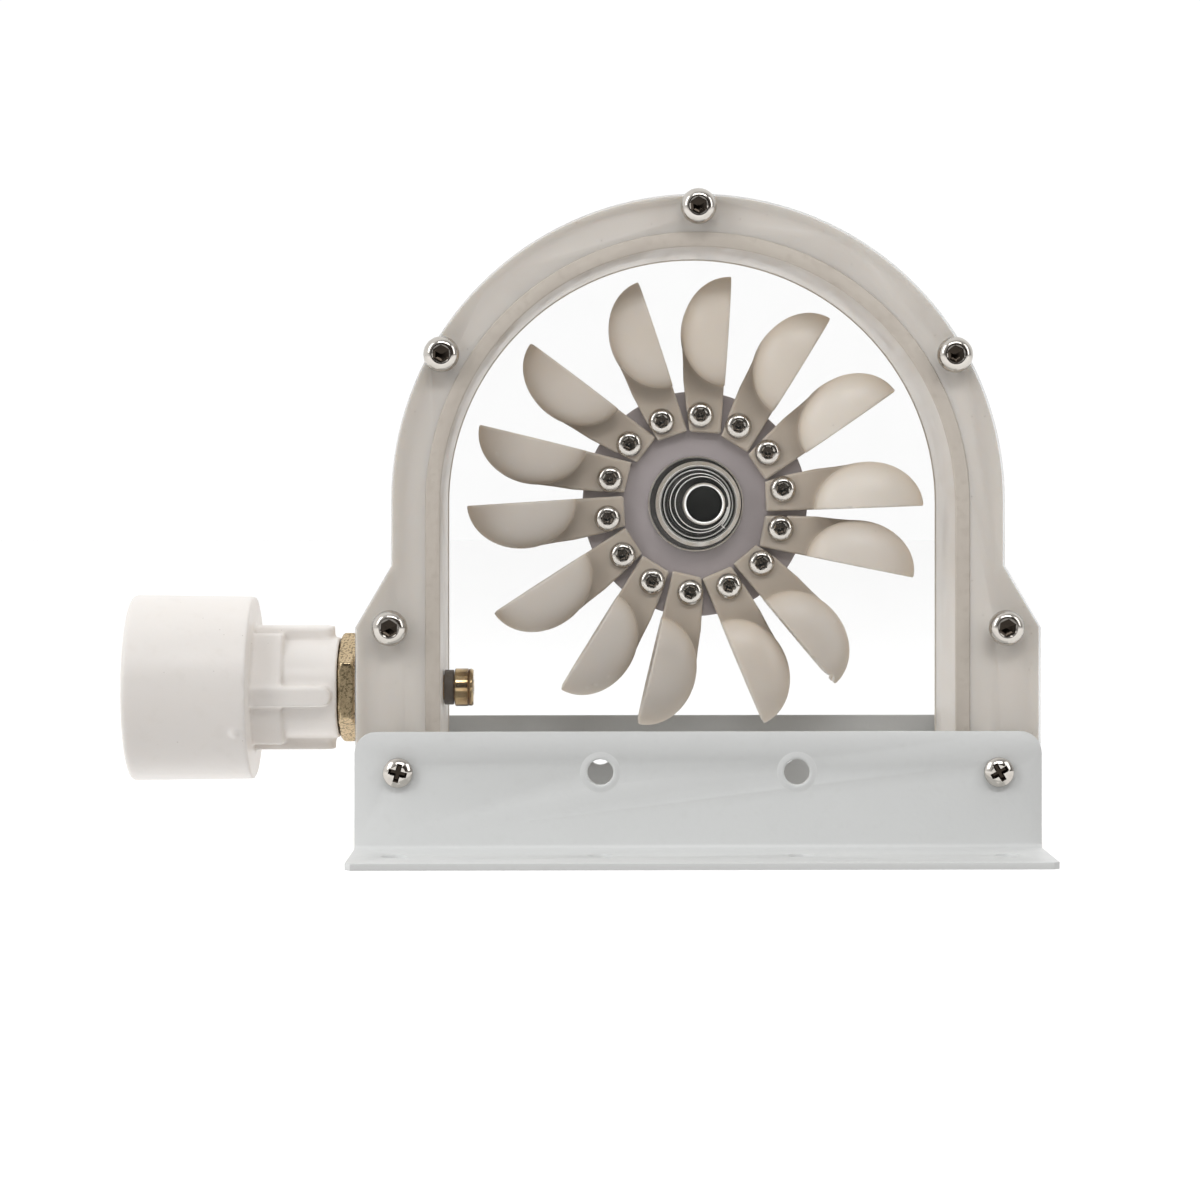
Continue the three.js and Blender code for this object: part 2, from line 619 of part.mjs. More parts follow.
function housing() {
  const group = new THREE.Group();
  group.add(mesh('housing_frame', housingFrame(), 'nylon'));
  group.add(mesh('front_window', windowPane(-1), 'acrylic'));
  group.add(mesh('rear_window', rearWindow(), 'acrylic'));
  group.add(mesh('front_gasket', gasket(-1), 'gasket'));
  group.add(mesh('rear_gasket', gasket(1), 'gasket'));
  group.add(mesh('bearing_housing', bearingHousing(), 'darkSteel'));
  boltPlaces.forEach(([x, z], index) => {
    const bolt = mesh(`housing_bolt_${index + 1}`, housingBolt(), 'steel');
    bolt.position.set(x, 0, z);
    group.add(bolt);
  });
  return group;
}

function brackets() {
  const group = new THREE.Group();
  const front = frontBracket();
  group.add(mesh('front_bracket', front, 'powder'));
  group.add(mesh('rear_bracket', front.mirror([0, 1, 0]), 'powder'));
  for (const [side, place] of [[-1, 'front'], [1, 'rear']]) {
    for (const [x, hand] of [[-SCREW_X, 'left'], [SCREW_X, 'right']]) {
      const screw = mesh(`${place}_bracket_screw_${hand}`, bracketScrew(side), 'steel');
      screw.position.set(x, 0, BRACKET_HOLE_Z);
      group.add(screw);
    }
  }
  return group;
}

function inlet() {
  const group = new THREE.Group();
  group.add(mesh('pipe_adapter', pipeAdapter(), 'pvc'));
  group.add(mesh('brass_fitting', brassFitting(), 'brass'));
  group.add(mesh('inlet_washer', inletWasher(), 'washer'));
  group.add(mesh('nozzle_collar', nozzleCollar(), 'darkSteel'));
  group.add(mesh('nozzle_tip', nozzleTip(), 'brass'));
  return group;
}

function rotor() {
  const group = new THREE.Group();
  group.add(mesh('rotor_disc', rotorDisc(), 'disc'));
  group.add(mesh('hub_washer', hubWasher(), 'steel'));
  group.add(mesh('seal_cup', sealCup(), 'steel'));
  group.add(mesh('seal_bellows', sealBellows(), 'rubber'));
  group.add(mesh('seal_sleeve', sealSleeve(), 'steel'));
  group.add(mesh('shaft', shaft(), 'darkSteel'));
  SWUNG.forEach((swing, index) => {
    const name = `bucket_${String(index + 1).padStart(2, '0')}`;
    const piece = mesh(name, bucket(swing), 'bucketNylon');
    piece.rotation.y = bucketAngle(index);
    group.add(piece);
  });
  return group;
}

const group = new THREE.Group();
group.add(housing(), brackets(), inlet(), rotor());
group.position.set(-(ADAPTER_END + SPAN / 2) / 2, 0, AXIS_HEIGHT);

export default group;
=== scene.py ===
"""Looks of a bench-sized Pelton turbine unit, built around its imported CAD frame.

Lengths are metres. X runs along the jet, Y from the front window to the rear one, and Z up.
"""

import json
import math

import bmesh
import bpy
import numpy as np
from mathutils import Matrix, Vector


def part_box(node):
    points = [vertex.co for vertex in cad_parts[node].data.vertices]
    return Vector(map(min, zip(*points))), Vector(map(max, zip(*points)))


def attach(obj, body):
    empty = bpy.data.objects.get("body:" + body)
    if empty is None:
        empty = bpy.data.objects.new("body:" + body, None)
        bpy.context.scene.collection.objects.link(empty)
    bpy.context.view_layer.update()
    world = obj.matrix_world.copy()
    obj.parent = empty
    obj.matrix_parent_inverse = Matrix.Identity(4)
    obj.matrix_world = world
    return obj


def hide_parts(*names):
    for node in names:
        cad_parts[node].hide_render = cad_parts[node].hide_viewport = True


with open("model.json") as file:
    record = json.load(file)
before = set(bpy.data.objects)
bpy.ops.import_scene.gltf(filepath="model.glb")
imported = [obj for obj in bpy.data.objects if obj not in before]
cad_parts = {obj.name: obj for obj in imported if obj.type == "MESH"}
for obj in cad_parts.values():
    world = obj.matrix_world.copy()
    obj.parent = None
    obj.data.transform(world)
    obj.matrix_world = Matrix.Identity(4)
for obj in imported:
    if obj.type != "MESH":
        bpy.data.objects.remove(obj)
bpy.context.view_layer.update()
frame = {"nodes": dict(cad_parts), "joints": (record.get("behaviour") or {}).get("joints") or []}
nodes = frame["nodes"]
HUB = Vector(frame["joints"][0]["pos_m"])

MM = 0.001
SEGMENTS = 96
THETA = np.arange(SEGMENTS) * 2 * math.pi / SEGMENTS

# Buckets, about the wheel's axis: the same sizes as the CAD buckets
BUCKETS = 14
FIRST_BUCKET = 3.4
SWUNG = [0.2, 2.5, 0.5, 7.4, -4.8, 8.1, -0.6, 9.8, 2.6, 2.2, 5.8, -2.5, -5, 3.9]
SCREW_CIRCLE = 26.8
ROOT = 21.6
RIM = 6.5
PLATE_HALF = 1.5
CUP_CENTRE = 52.1
CUP_LENGTH = 16.5
CUP_DEPTH = 13.9
CUP_OFFSET = 6.2
CUP_HALF_WIDTH = 6.8
CUP_WALL = 1.6
ROOT_REACH = 28
SHARE_START = 17.2
LIP_DEPTH = 1.5
CHIPPED_BUCKET = 5
CHIP_RADIUS = 1.1
CHIP_REACH = 14

# Heads of the screws and bolts, as (radius, height, socket across flats, socket depth)
BLADE_SCREW_HEAD = (4.0, 2.3, 3.1, 1.5)
HOUSING_BOLT_HEAD = (5.25, 3.3, 4.5, 2.1)
HOUSING_NUT_REACH = 6.5
PAN_HEAD_FACE = 2.75
PAN_HEAD_SEAT = 2.8
CROSS_REACH = 2.5
UPRIGHT_HOLE_X = 28.6
LIP_SEAT = 3.1
BEARING_SCREW_CIRCLE = 21.8

# Steps of the sampled fields
BUCKET_STEP = 0.5
PAN_HEAD_STEP = 0.16
ADAPTER_STEP = 0.75
BRASS_STEP = 0.55

# Painted shade: how much darker each bucket is painted than the palest one, palest at the upper
# right of the wheel and darkest low on it, as the light falls
PAINTED_BUCKET_SHADES = [0.30, 0.23, 0.0, 0.03, 0.40, 0.72, 0.55, 0.95, 0.80, 0.65, 0.72, 0.62, 0.48, 0.32]


# ---------- Mesh helpers ----------

def add_piece(name, points, faces, body, stands_for=(), sharp=35):
    """A closed piece in the row frame, riding on a body."""
    data = bpy.data.meshes.new(name)
    data.from_pydata([tuple(p) for p in points], [], [tuple(f) for f in faces])
    work = bmesh.new()
    work.from_mesh(data)
    bmesh.ops.recalc_face_normals(work, faces=work.faces)
    work.to_mesh(data)
    work.free()
    data.shade_smooth()
    data.set_sharp_from_angle(angle=math.radians(sharp))
    piece = bpy.data.objects.new(name, data)
    bpy.context.scene.collection.objects.link(piece)
    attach(piece, body)
    if stands_for:
        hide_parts(*stands_for)
    return piece


def lathe(profile, closed=False):
    """A profile of (radius, along) pairs turned round the Y axis. A pair may hold one value for
    each direction, as hexagon() gives."""
    points, rings = [], []
    for radius, along in profile:
        radius = np.broadcast_to(radius, SEGMENTS)
        along = np.broadcast_to(along, SEGMENTS)
        if radius.max() < 1e-9:
            rings.append([len(points)] * SEGMENTS)
            points.append((0.0, float(along[0]), 0.0))
            continue
        rings.append(range(len(points), len(points) + SEGMENTS))
        points += list(zip(radius * np.sin(THETA), along, radius * np.cos(THETA)))
    pairs = list(zip(rings, rings[1:]))
    if closed:
        pairs.append((rings[-1], rings[0]))
    faces = []
    for near, far in pairs:
        for i in range(SEGMENTS):
            j = (i + 1) % SEGMENTS
            corners = dict.fromkeys((near[i], near[j], far[j], far[i]))
            if len(corners) > 2:
                faces.append(list(corners))
    return np.array(points, float), faces


def hexagon(flat):
    """Radius of a hexagon in each direction, from the distance of its flats."""
    sixth = math.pi / 3
    return flat / np.cos((THETA + sixth / 2) % sixth - sixth / 2)


def surface_net(field, low, step):
    """Quads along the zero of a distance field, which is below zero inside the solid."""
    shape = np.array(field.shape)
    total = np.zeros((*(shape + 1), 3))
    count = np.zeros(shape + 1)
    inside = field < 0
    crossings = []
    for axis in range(3):
        first = [slice(None)] * 3
        second = [slice(None)] * 3
        first[axis] = slice(0, -1)
        second[axis] = slice(1, None)
        first, second = tuple(first), tuple(second)
        where = np.argwhere(inside[first] != inside[second])
        here = field[first][tuple(where.T)]
        there = field[second][tuple(where.T)]
        place = where.astype(float)
        place[:, axis] += here / (here - there)
        others = [a for a in range(3) if a != axis]
        for back in ((0, 0), (0, 1), (1, 1), (1, 0)):
            cell = where + 1
            cell[:, others[0]] -= back[0]
            cell[:, others[1]] -= back[1]
            np.add.at(total, tuple(cell.T), place)
            np.add.at(count, tuple(cell.T), 1)
        crossings.append((axis, others, where))
    number = np.full(shape + 1, -1)
    used = np.argwhere(count > 0)
    number[tuple(used.T)] = np.arange(len(used))
    centre = total[tuple(used.T)] / count[tuple(used.T)][:, None]
    quads = []
    for axis, others, where in crossings:
        corners = []
        for back in ((0, 0), (0, 1), (1, 1), (1, 0)):
            cell = where + 1
            cell[:, others[0]] -= back[0]
            cell[:, others[1]] -= back[1]
            corners.append(number[tuple(cell.T)])
        quads.append(np.stack(corners, 1))
    return centre * step + np.array(low), np.concatenate(quads)


def grid(low, high, step):
    """Coordinates of a box of sample points."""
    axes = [np.arange(a, b + step, step) for a, b in zip(low, high)]
    return np.meshgrid(*axes, indexing="ij")


def smooth_union(a, b, blend):
    mix = np.clip(0.5 + 0.5 * (b - a) / blend, 0, 1)
    return b * (1 - mix) + a * mix - blend * mix * (1 - mix)


def ellipsoid(x, y, z, radii):
    near = np.sqrt((x / radii[0]) ** 2 + (y / radii[1]) ** 2 + (z / radii[2]) ** 2)
    slope = np.sqrt((x / radii[0] ** 2) ** 2 + (y / radii[1] ** 2) ** 2 + (z / radii[2] ** 2) ** 2)
    return near * (near - 1) / np.maximum(slope, 1e-6)


def outline(corners, x, y):
    """Distance from a closed outline, below zero inside."""
    distance = np.full(x.shape, 1e9)
    inside = np.zeros(x.shape, bool)
    for (ax, ay), (bx, by) in zip(corners, corners[1:] + corners[:1]):
        ex, ey = bx - ax, by - ay
        t = np.clip(((x - ax) * ex + (y - ay) * ey) / (ex * ex + ey * ey), 0, 1)
        distance = np.minimum(distance, np.hypot(x - ax - t * ex, y - ay - t * ey))
        if ay != by:
            crosses = (ay > y) != (by > y)
            inside ^= crosses & (x < ax + (y - ay) * ex / ey)
    return np.where(inside, -distance, distance)


def store(piece, name, values):
    """Keeps a value on each vertex for the piece's material to use."""
    layer = piece.data.attributes.new(name, "FLOAT", "POINT")
    layer.data.foreach_set("value", np.asarray(values, np.float32))


def moved(points, matrix):
    turn = np.array(matrix.to_3x3())
    return points @ turn.T + np.array(matrix.translation)


# ---------- Materials ----------

class Look:
    """A Principled material whose colour, gloss and bump vary with place on the object."""

    def __init__(self, name, color, roughness, metallic=0.0, **sockets):
        self.material = bpy.data.materials.new(name)
        self.material.use_nodes = True
        self.tree = self.material.node_tree
        self.shader = self.tree.nodes["Principled BSDF"]
        self.shader.inputs["Base Color"].default_value = (*color, 1)
        self.shader.inputs["Roughness"].default_value = roughness
        self.shader.inputs["Metallic"].default_value = metallic
        for socket, value in sockets.items():
            self.shader.inputs[socket.replace("_", " ")].default_value = value
        self.place = self.tree.nodes.new("ShaderNodeTexCoord").outputs["Object"]
        self.color = tuple(color)
        self.color_source = None
        self.bump_source = None

    def node(self, kind, inputs=None, **settings):
        node = self.tree.nodes.new(kind)
        for key, value in settings.items():
            setattr(node, key, value)
        for key, value in (inputs or {}).items():
            if isinstance(value, bpy.types.NodeSocket):
                self.tree.links.new(value, node.inputs[key])
            else:
                node.inputs[key].default_value = value
        return node

    def noise(self, scale, detail=3.0, stretch=(1, 1, 1)):
        place = self.node("ShaderNodeMapping", {"Vector": self.place, "Scale": stretch})
        inputs = {"Vector": place.outputs[0], "Scale": scale, "Detail": detail}
        return self.node("ShaderNodeTexNoise", inputs).outputs[0]

    def specks(self, scale):
        """Distance from scattered points."""
        inputs = {"Vector": self.place, "Scale": scale}
        return self.node("ShaderNodeTexVoronoi", inputs).outputs["Distance"]

    def measured(self, name):
        """A value stored on the mesh's vertices."""
        return self.node("ShaderNodeAttribute", attribute_name=name).outputs["Fac"]

    def edges(self):
        """High on ridges, low in corners."""
        return self.node("ShaderNodeNewGeometry").outputs["Pointiness"]

    def squareness(self):
        """1 where the surface lies square to the Y axis, 0 where it runs along it."""
        normal = self.node("ShaderNodeNewGeometry").outputs["True Normal"]
        along = self.node("ShaderNodeSeparateXYZ", {0: normal}).outputs["Y"]
        return self.node("ShaderNodeMath", {0: along}, operation="ABSOLUTE").outputs[0]

    def span(self, source, low, high, to_low=0.0, to_high=1.0):
        inputs = {0: source, 1: low, 2: high, 3: to_low, 4: to_high}
        return self.node("ShaderNodeMapRange", inputs).outputs[0]

    def tint(self, amount, color):
        """Mixes another colour in, as far as the amount says at each place."""
        mix = self.node("ShaderNodeMix", {0: amount}, data_type="RGBA")
        if self.color_source:
            self.tree.links.new(self.color_source, mix.inputs[6])
        else:
            mix.inputs[6].default_value = (*self.color, 1)
        mix.inputs[7].default_value = (*color, 1)
        self.color_source = mix.outputs[2]
        self.tree.links.new(self.color_source, self.shader.inputs["Base Color"])

    def gloss(self, source, low, high):
        """Roughness from low to high as the source goes from 0.3 to 0.7."""
        rough = self.span(source, 0.3, 0.7, low, high)
        self.tree.links.new(rough, self.shader.inputs["Roughness"])

    def bump(self, source, height, strength=1.0):
        bump = self.node("ShaderNodeBump", {"Height": source, "Distance": height,
                                            "Strength": strength})
        if self.bump_source:
            self.tree.links.new(self.bump_source, bump.inputs["Normal"])
        self.bump_source = bump.outputs[0]
        self.tree.links.new(self.bump_source, self.shader.inputs["Normal"])


def housing_nylon():
    look = Look("housing_nylon", (0.65, 0.585, 0.515), 0.45, Subsurface_Weight=0.3,
                Subsurface_Radius=(0.006, 0.005, 0.004), Subsurface_Scale=1.0)
    look.tint(look.span(look.noise(22, 4), 0.35, 0.7, 0, 0.45), (0.66, 0.61, 0.56))
    look.tint(look.span(look.noise(160, 5), 0.5, 0.8, 0, 0.2), (0.52, 0.45, 0.37))
    # painted highlight on the housing's ridges and edges
    look.tint(look.span(look.edges(), 0.52, 0.62, 0, 0.5), (0.80, 0.77, 0.73))
    look.tint(look.span(look.specks(260), 0.04, 0.07, 0.5, 0), (0.30, 0.25, 0.20))
    look.gloss(look.noise(90), 0.36, 0.55)
    look.bump(look.noise(900, 2), 0.00006, 0.5)
    look.bump(look.noise(60, 3), 0.0003, 0.25)
    return look.material


def bucket_nylon():
    """Translucent, with painted shade: the thick roots, most of all beside the cups' creases, are
    painted darker than the thin cups, for the light that shines through the cups but not through
    the roots.
    """
    look = Look("bucket_nylon", (0.82, 0.755, 0.68), 0.36, Subsurface_Weight=0.35,
                Subsurface_Radius=(0.003, 0.0024, 0.0018), Subsurface_Scale=1.0)
    # painted shade for each bucket, darker on the buckets low on the wheel where less light falls
    look.tint(look.measured("painted_bucket_shade"), (0.56, 0.52, 0.475))
    look.tint(look.span(look.noise(45, 4), 0.35, 0.7, 0, 0.3), (0.82, 0.77, 0.71))
    look.tint(look.span(look.noise(16, 2), 0.45, 0.68, 0, 0.4), (0.68, 0.58, 0.46))
    # painted shade: darker on the thick roots, where no light shines through, and darkest beside
    # the crease as a painted shadow
    solid = look.measured("painted_root_shade")
    look.tint(look.span(solid, 0.0, 0.3, 0, 0.55), (0.62, 0.52, 0.40))
    look.tint(look.span(solid, 0.3, 0.9, 0, 0.85), (0.45, 0.39, 0.325))
    # painted shade in the buckets' corners and creases
    look.tint(look.span(look.edges(), 0.40, 0.48, 0.45, 0), (0.22, 0.18, 0.14))
    # painted highlight on the buckets' ridges
    look.tint(look.span(look.edges(), 0.53, 0.62, 0, 0.35), (0.78, 0.75, 0.71))
    look.tint(look.span(look.specks(330), 0.03, 0.06, 0.75, 0), (0.16, 0.13, 0.11))
    look.gloss(look.noise(120), 0.30, 0.48)
    look.bump(look.noise(1100, 2), 0.00005, 0.5)
    look.bump(look.noise(110, 2), 0.00025, 0.3)
    return look.material


def clear_acrylic():
    look = Look("clear_acrylic", (0.42, 0.45, 0.43), 0.06, Alpha=0.014)
    square = look.squareness()
    # painted highlight: the sheet's side faces painted pale bluish, for light caught in its
    # polished edges
    look.tint(look.span(square, 0.75, 0.95, 0.9, 0), (0.80, 0.86, 0.90))
    opacity = look.span(square, 0.6, 0.98, 0.55, 0.022)
    haze = look.span(look.noise(70, 5), 0.5, 0.8, 0, 0.008)
    total = look.node("ShaderNodeMath", {0: opacity, 1: haze}, operation="ADD").outputs[0]
    look.tree.links.new(total, look.shader.inputs["Alpha"])
    look.gloss(look.noise(40, 4), 0.04, 0.16)
    return look.material


def gasket_silicone():
    look = Look("gasket_silicone", (0.60, 0.54, 0.475), 0.6)
    look.tint(look.span(look.noise(60, 4), 0.35, 0.7, 0, 0.6), (0.63, 0.575, 0.50))
    look.tint(look.span(look.noise(400, 3), 0.5, 0.75, 0, 0.3), (0.42, 0.36, 0.30))
    look.gloss(look.noise(200), 0.5, 0.75)
    look.bump(look.noise(500, 3), 0.0001, 0.5)
    return look.material


def powder_coat():
    look = Look("white_powder_coat", (0.69, 0.70, 0.695), 0.42)
    look.tint(look.span(look.noise(12, 4), 0.35, 0.7, 0, 0.5), (0.65, 0.66, 0.655))
    look.tint(look.span(look.noise(300, 4), 0.55, 0.8, 0, 0.2), (0.58, 0.585, 0.57))
    # painted highlight on the brackets' edges and bends
    look.tint(look.span(look.edges(), 0.54, 0.64, 0, 0.5), (0.82, 0.82, 0.81))
    look.gloss(look.noise(150), 0.34, 0.5)
    look.bump(look.noise(650, 1.5), 0.00012, 0.6)
    return look.material


def pipe_pvc():
    look = Look("pipe_pvc", (0.82, 0.785, 0.75), 0.36, Subsurface_Weight=0.12,
                Subsurface_Radius=(0.004, 0.0035, 0.003), Subsurface_Scale=1.0)
    look.tint(look.span(look.noise(20, 3, (1, 3, 3)), 0.35, 0.7, 0, 0.5), (0.86, 0.835, 0.81))
    look.tint(look.span(look.noise(220, 4), 0.55, 0.8, 0, 0.25), (0.72, 0.68, 0.63))
    # painted shade in the adapter's corners and creases
    look.tint(look.span(look.edges(), 0.40, 0.49, 0.4, 0), (0.50, 0.46, 0.41))
    look.tint(look.span(look.specks(240), 0.02, 0.05, 0.6, 0), (0.35, 0.31, 0.27))
    look.gloss(look.noise(80), 0.3, 0.46)
    look.bump(look.noise(800, 2), 0.00005, 0.5)
    look.bump(look.noise(90, 2), 0.0002, 0.3)
    return look.material


def cast_brass():
    look = Look("cast_brass", (0.56, 0.43, 0.26), 0.2, metallic=1.0)
    look.tint(look.span(look.noise(260, 5), 0.38, 0.66, 0, 0.6), (0.64, 0.50, 0.32))
    # painted shade: faces lying square to the Y axis, towards the front and back, painted dark for
    # the dark they reflect
    look.tint(look.span(look.squareness(), 0.8, 0.95, 0, 0.8), (0.16, 0.125, 0.075))
    look.tint(look.span(look.noise(1500, 2), 0.50, 0.62, 0, 0.7), (0.07, 0.055, 0.03))
    look.tint(look.span(look.edges(), 0.52, 0.6, 0, 0.7), (0.80, 0.68, 0.46))
    look.gloss(look.noise(500, 4), 0.16, 0.3)
    look.bump(look.noise(1300, 1), 0.00003, 0.6)
    return look.material


def turned_brass():
    look = Look("turned_brass", (0.36, 0.21, 0.085), 0.12, metallic=1.0)
    look.tint(look.span(look.noise(180, 5), 0.38, 0.58, 0, 0.85), (0.12, 0.06, 0.025))
    look.tint(look.span(look.edges(), 0.52, 0.6, 0, 0.8), (0.90, 0.72, 0.42))
    look.gloss(look.noise(300, 4), 0.08, 0.2)
    look.bump(look.noise(700, 2, (6, 1, 1)), 0.00005, 0.6)
    return look.material


def polished_steel():
    look = Look("stainless", (0.56, 0.53, 0.49), 0.12, metallic=1.0)
    look.tint(look.span(look.noise(320, 4), 0.5, 0.8, 0, 0.5), (0.38, 0.35, 0.31))
    # painted shade in corners and gaps
    look.tint(look.span(look.edges(), 0.40, 0.47, 0.8, 0), (0.10, 0.09, 0.08))
    # painted shade: the sockets and cross recesses of the heads painted near black
    look.tint(look.measured("recess"), (0.030, 0.024, 0.019))
    look.gloss(look.noise(420, 4), 0.07, 0.18)
    look.bump(look.noise(900, 3), 0.00002, 0.4)
    return look.material


def turned_steel():
    look = Look("turned_steel", (0.90, 0.89, 0.86), 0.34, metallic=1.0)
    look.tint(look.span(look.noise(240, 3), 0.55, 0.8, 0, 0.3), (0.66, 0.64, 0.61))
    # painted shade: ring faces set back behind their front lips painted dark
    look.tint(look.measured("recess"), (0.10, 0.095, 0.09))
    look.gloss(look.noise(420, 4), 0.28, 0.38)
    look.bump(look.noise(900, 1), 0.000005, 0.3)
    return look.material


def grey_disc():
    look = Look("grey_disc", (0.42, 0.375, 0.38), 0.5)
    look.tint(look.span(look.noise(60, 4), 0.35, 0.7, 0, 0.5), (0.48, 0.435, 0.44))
    look.tint(look.span(look.specks(420), 0.05, 0.09, 0.6, 0), (0.62, 0.60, 0.60))
    look.tint(look.span(look.specks(290), 0.03, 0.06, 0.7, 0), (0.10, 0.09, 0.09))
    look.gloss(look.noise(200), 0.42, 0.6)
    look.bump(look.noise(700, 3), 0.0001, 0.5)
    return look.material


def seal_rubber():
    look = Look("seal_rubber", (0.022, 0.019, 0.017), 0.5)
    look.tint(look.span(look.noise(300, 4), 0.5, 0.8, 0, 0.5), (0.05, 0.046, 0.042))
    # painted highlight on the seal's ridges
    look.tint(look.span(look.edges(), 0.53, 0.62, 0, 0.5), (0.13, 0.12, 0.11))
    look.gloss(look.noise(260), 0.38, 0.6)
    look.bump(look.noise(900, 3), 0.00008, 0.6)
    return look.material


def shaft_steel():
    look = Look("shaft_steel", (0.52, 0.50, 0.48), 0.24, metallic=1.0)
    look.tint(look.span(look.noise(240, 4, (1, 4, 1)), 0.42, 0.72, 0, 0.6), (0.33, 0.31, 0.29))
    # painted shade in the shaft's corners
    look.tint(look.span(look.edges(), 0.42, 0.48, 0.7, 0), (0.07, 0.06, 0.055))
    look.gloss(look.noise(400, 3, (1, 6, 1)), 0.16, 0.34)
    look.bump(look.noise(500, 2, (1, 9, 1)), 0.00004, 0.7)
    return look.material


def machined_aluminium():
    look = Look("machined_aluminium", (0.66, 0.66, 0.665), 0.3, metallic=1.0)
    look.tint(look.span(look.noise(160, 4), 0.4, 0.72, 0, 0.5), (0.50, 0.50, 0.51))
    look.tint(look.span(look.edges(), 0.52, 0.6, 0, 0.6), (0.85, 0.85, 0.85))
    look.gloss(look.noise(380, 3, (1, 8, 1)), 0.2, 0.42)
    look.bump(look.noise(600, 2, (1, 8, 1)), 0.00005, 0.7)
    return look.material


def washer_plastic(name, color, shade):
    look = Look(name, color, 0.5)
    look.tint(look.span(look.noise(220, 4), 0.35, 0.7, 0, 0.6), shade)
    look.gloss(look.noise(300), 0.4, 0.62)
    look.bump(look.noise(800, 3), 0.00008, 0.6)
    return look.material


def dress(piece, material):
    piece.data.materials.clear()
    piece.data.materials.append(material)


LOOKS = {
    "housing_nylon": housing_nylon(),
    "bucket_nylon": bucket_nylon(),
    "clear_acrylic": clear_acrylic(),
    "gasket_silicone": gasket_silicone(),
    "white_powder_coat": powder_coat(),
    "pipe_pvc": pipe_pvc(),
    "brass": cast_brass(),
    "stainless": polished_steel(),
    "grey_disc": grey_disc(),
    "seal_rubber": seal_rubber(),
    "shaft_steel": shaft_steel(),
    "machined_aluminium": machined_aluminium(),
    "white_washer": washer_plastic("white_washer", (0.74, 0.71, 0.78), (0.66, 0.63, 0.70)),
    "grey_washer": washer_plastic("grey_washer", (0.075, 0.055, 0.04), (0.115, 0.095, 0.075)),
}
TURNED_BRASS = turned_brass()
TURNED_STEEL = turned_steel()


# ---------- Wheel ----------

def bucket_field(v, y, u, swing, chip):
    """Distance field of one bucket in millimetres: v clockwise, y along the axis, u outwards."""
    turn = math.radians(swing)
    across = v * math.cos(turn) - (u - SCREW_CIRCLE) * math.sin(turn)
    out = SCREW_CIRCLE + v * math.sin(turn) + (u - SCREW_CIRCLE) * math.cos(turn)
    root = outline([(RIM, ROOT), (RIM, 60), (-6, 60), (-6.9, 48), (-6.3, 43), (-5.8, 37),
                    (-4.1, 27), (-2.9, ROOT)], across, out)
    root = np.maximum(root, out - 52)
    web = np.hypot((across - RIM) / (CUP_DEPTH - 1), (out - CUP_CENTRE) / (CUP_LENGTH - 2.4)) - 1
    plate = np.maximum(np.minimum(root, web * CUP_DEPTH), abs(y) - PLATE_HALF)
    side = abs(y) - CUP_OFFSET
    outer = ellipsoid(across - RIM, side, out - CUP_CENTRE,
                      (CUP_DEPTH, CUP_HALF_WIDTH, CUP_LENGTH))
    hollow = ellipsoid(across - RIM, side, out - CUP_CENTRE,
                       (CUP_DEPTH - CUP_WALL, CUP_HALF_WIDTH - CUP_WALL, CUP_LENGTH - CUP_WALL))
    body = smooth_union(plate, outer, 1.8)
    body = np.maximum(body, -hollow)
    body = np.maximum(body, across - RIM)
    body = np.maximum(body, chip - np.hypot(across - RIM, out - CUP_CENTRE - CHIP_REACH))
    shares = []
    for degrees, side in ((SHARE_START, 1), (SHARE_START - 360 / BUCKETS, -1)):
        border = math.radians(degrees)
        shares.append(side * (v * math.cos(border) - u * math.sin(border)) + 0.15)
    beyond = np.maximum(*shares)
    return np.maximum(body, np.minimum(beyond, ROOT_REACH - np.hypot(v, u)))


def painted_root_shade(points, swing):
    """Painted shade on a bucket's surface, for the light that shines through the thin cups but not
    the thick root: 1 on the root beside the crease, where a painted shadow falls, less further
    down the root, 0 in the cups, rising a little towards the cups' outline where the wall is seen
    edge on.
    """
    turn = math.radians(swing)
    v, _, u = points.T
    across = v * math.cos(turn) - (u - SCREW_CIRCLE) * math.sin(turn)
    out = SCREW_CIRCLE + v * math.sin(turn) + (u - SCREW_CIRCLE) * math.cos(turn)
    cup = np.hypot((across - RIM) / CUP_DEPTH, (out - CUP_CENTRE) / CUP_LENGTH)
    root = np.clip((cup - 0.90) / 0.16, 0, 1) * np.clip((CUP_CENTRE - out) / 3, 0, 1)
    # painted shadow on the root beside the crease
    beside_crease = 0.72 + 0.28 * np.exp(-np.maximum(cup - 1.06, 0) / 0.15)
    # painted shade towards the cups' outline
    edge = 0.24 * np.clip((cup - 0.55) / 0.45, 0, 1) ** 2
    return np.maximum(root * root * (3 - 2 * root) * beside_crease, edge)


def build_buckets():
    low, high, step = (-11, -13.6, 19), (14, 13.6, 70.5), BUCKET_STEP
    v, y, u = grid(low, high, step)
    for index, swing in enumerate(SWUNG):
        chip = CHIP_RADIUS if index == CHIPPED_BUCKET else 0
        points, quads = surface_net(bucket_field(v, y, u, swing, chip), low, step)
        turn = Matrix.Rotation(math.radians(FIRST_BUCKET + index * 360 / BUCKETS), 4, "Y")
        name = f"bucket_{index + 1:02d}"
        piece = add_piece(f"{name}_moulding", moved(points * MM, Matrix.Translation(HUB) @ turn),
                          quads, "rotor", [name], sharp=60)
        # painted shade: darker roots and creases, and a darker shade on the buckets low on the
        # wheel
        store(piece, "painted_root_shade", painted_root_shade(points, swing))
        store(piece, "painted_bucket_shade", np.full(len(points), PAINTED_BUCKET_SHADES[index]))
        dress(piece, LOOKS["bucket_nylon"])


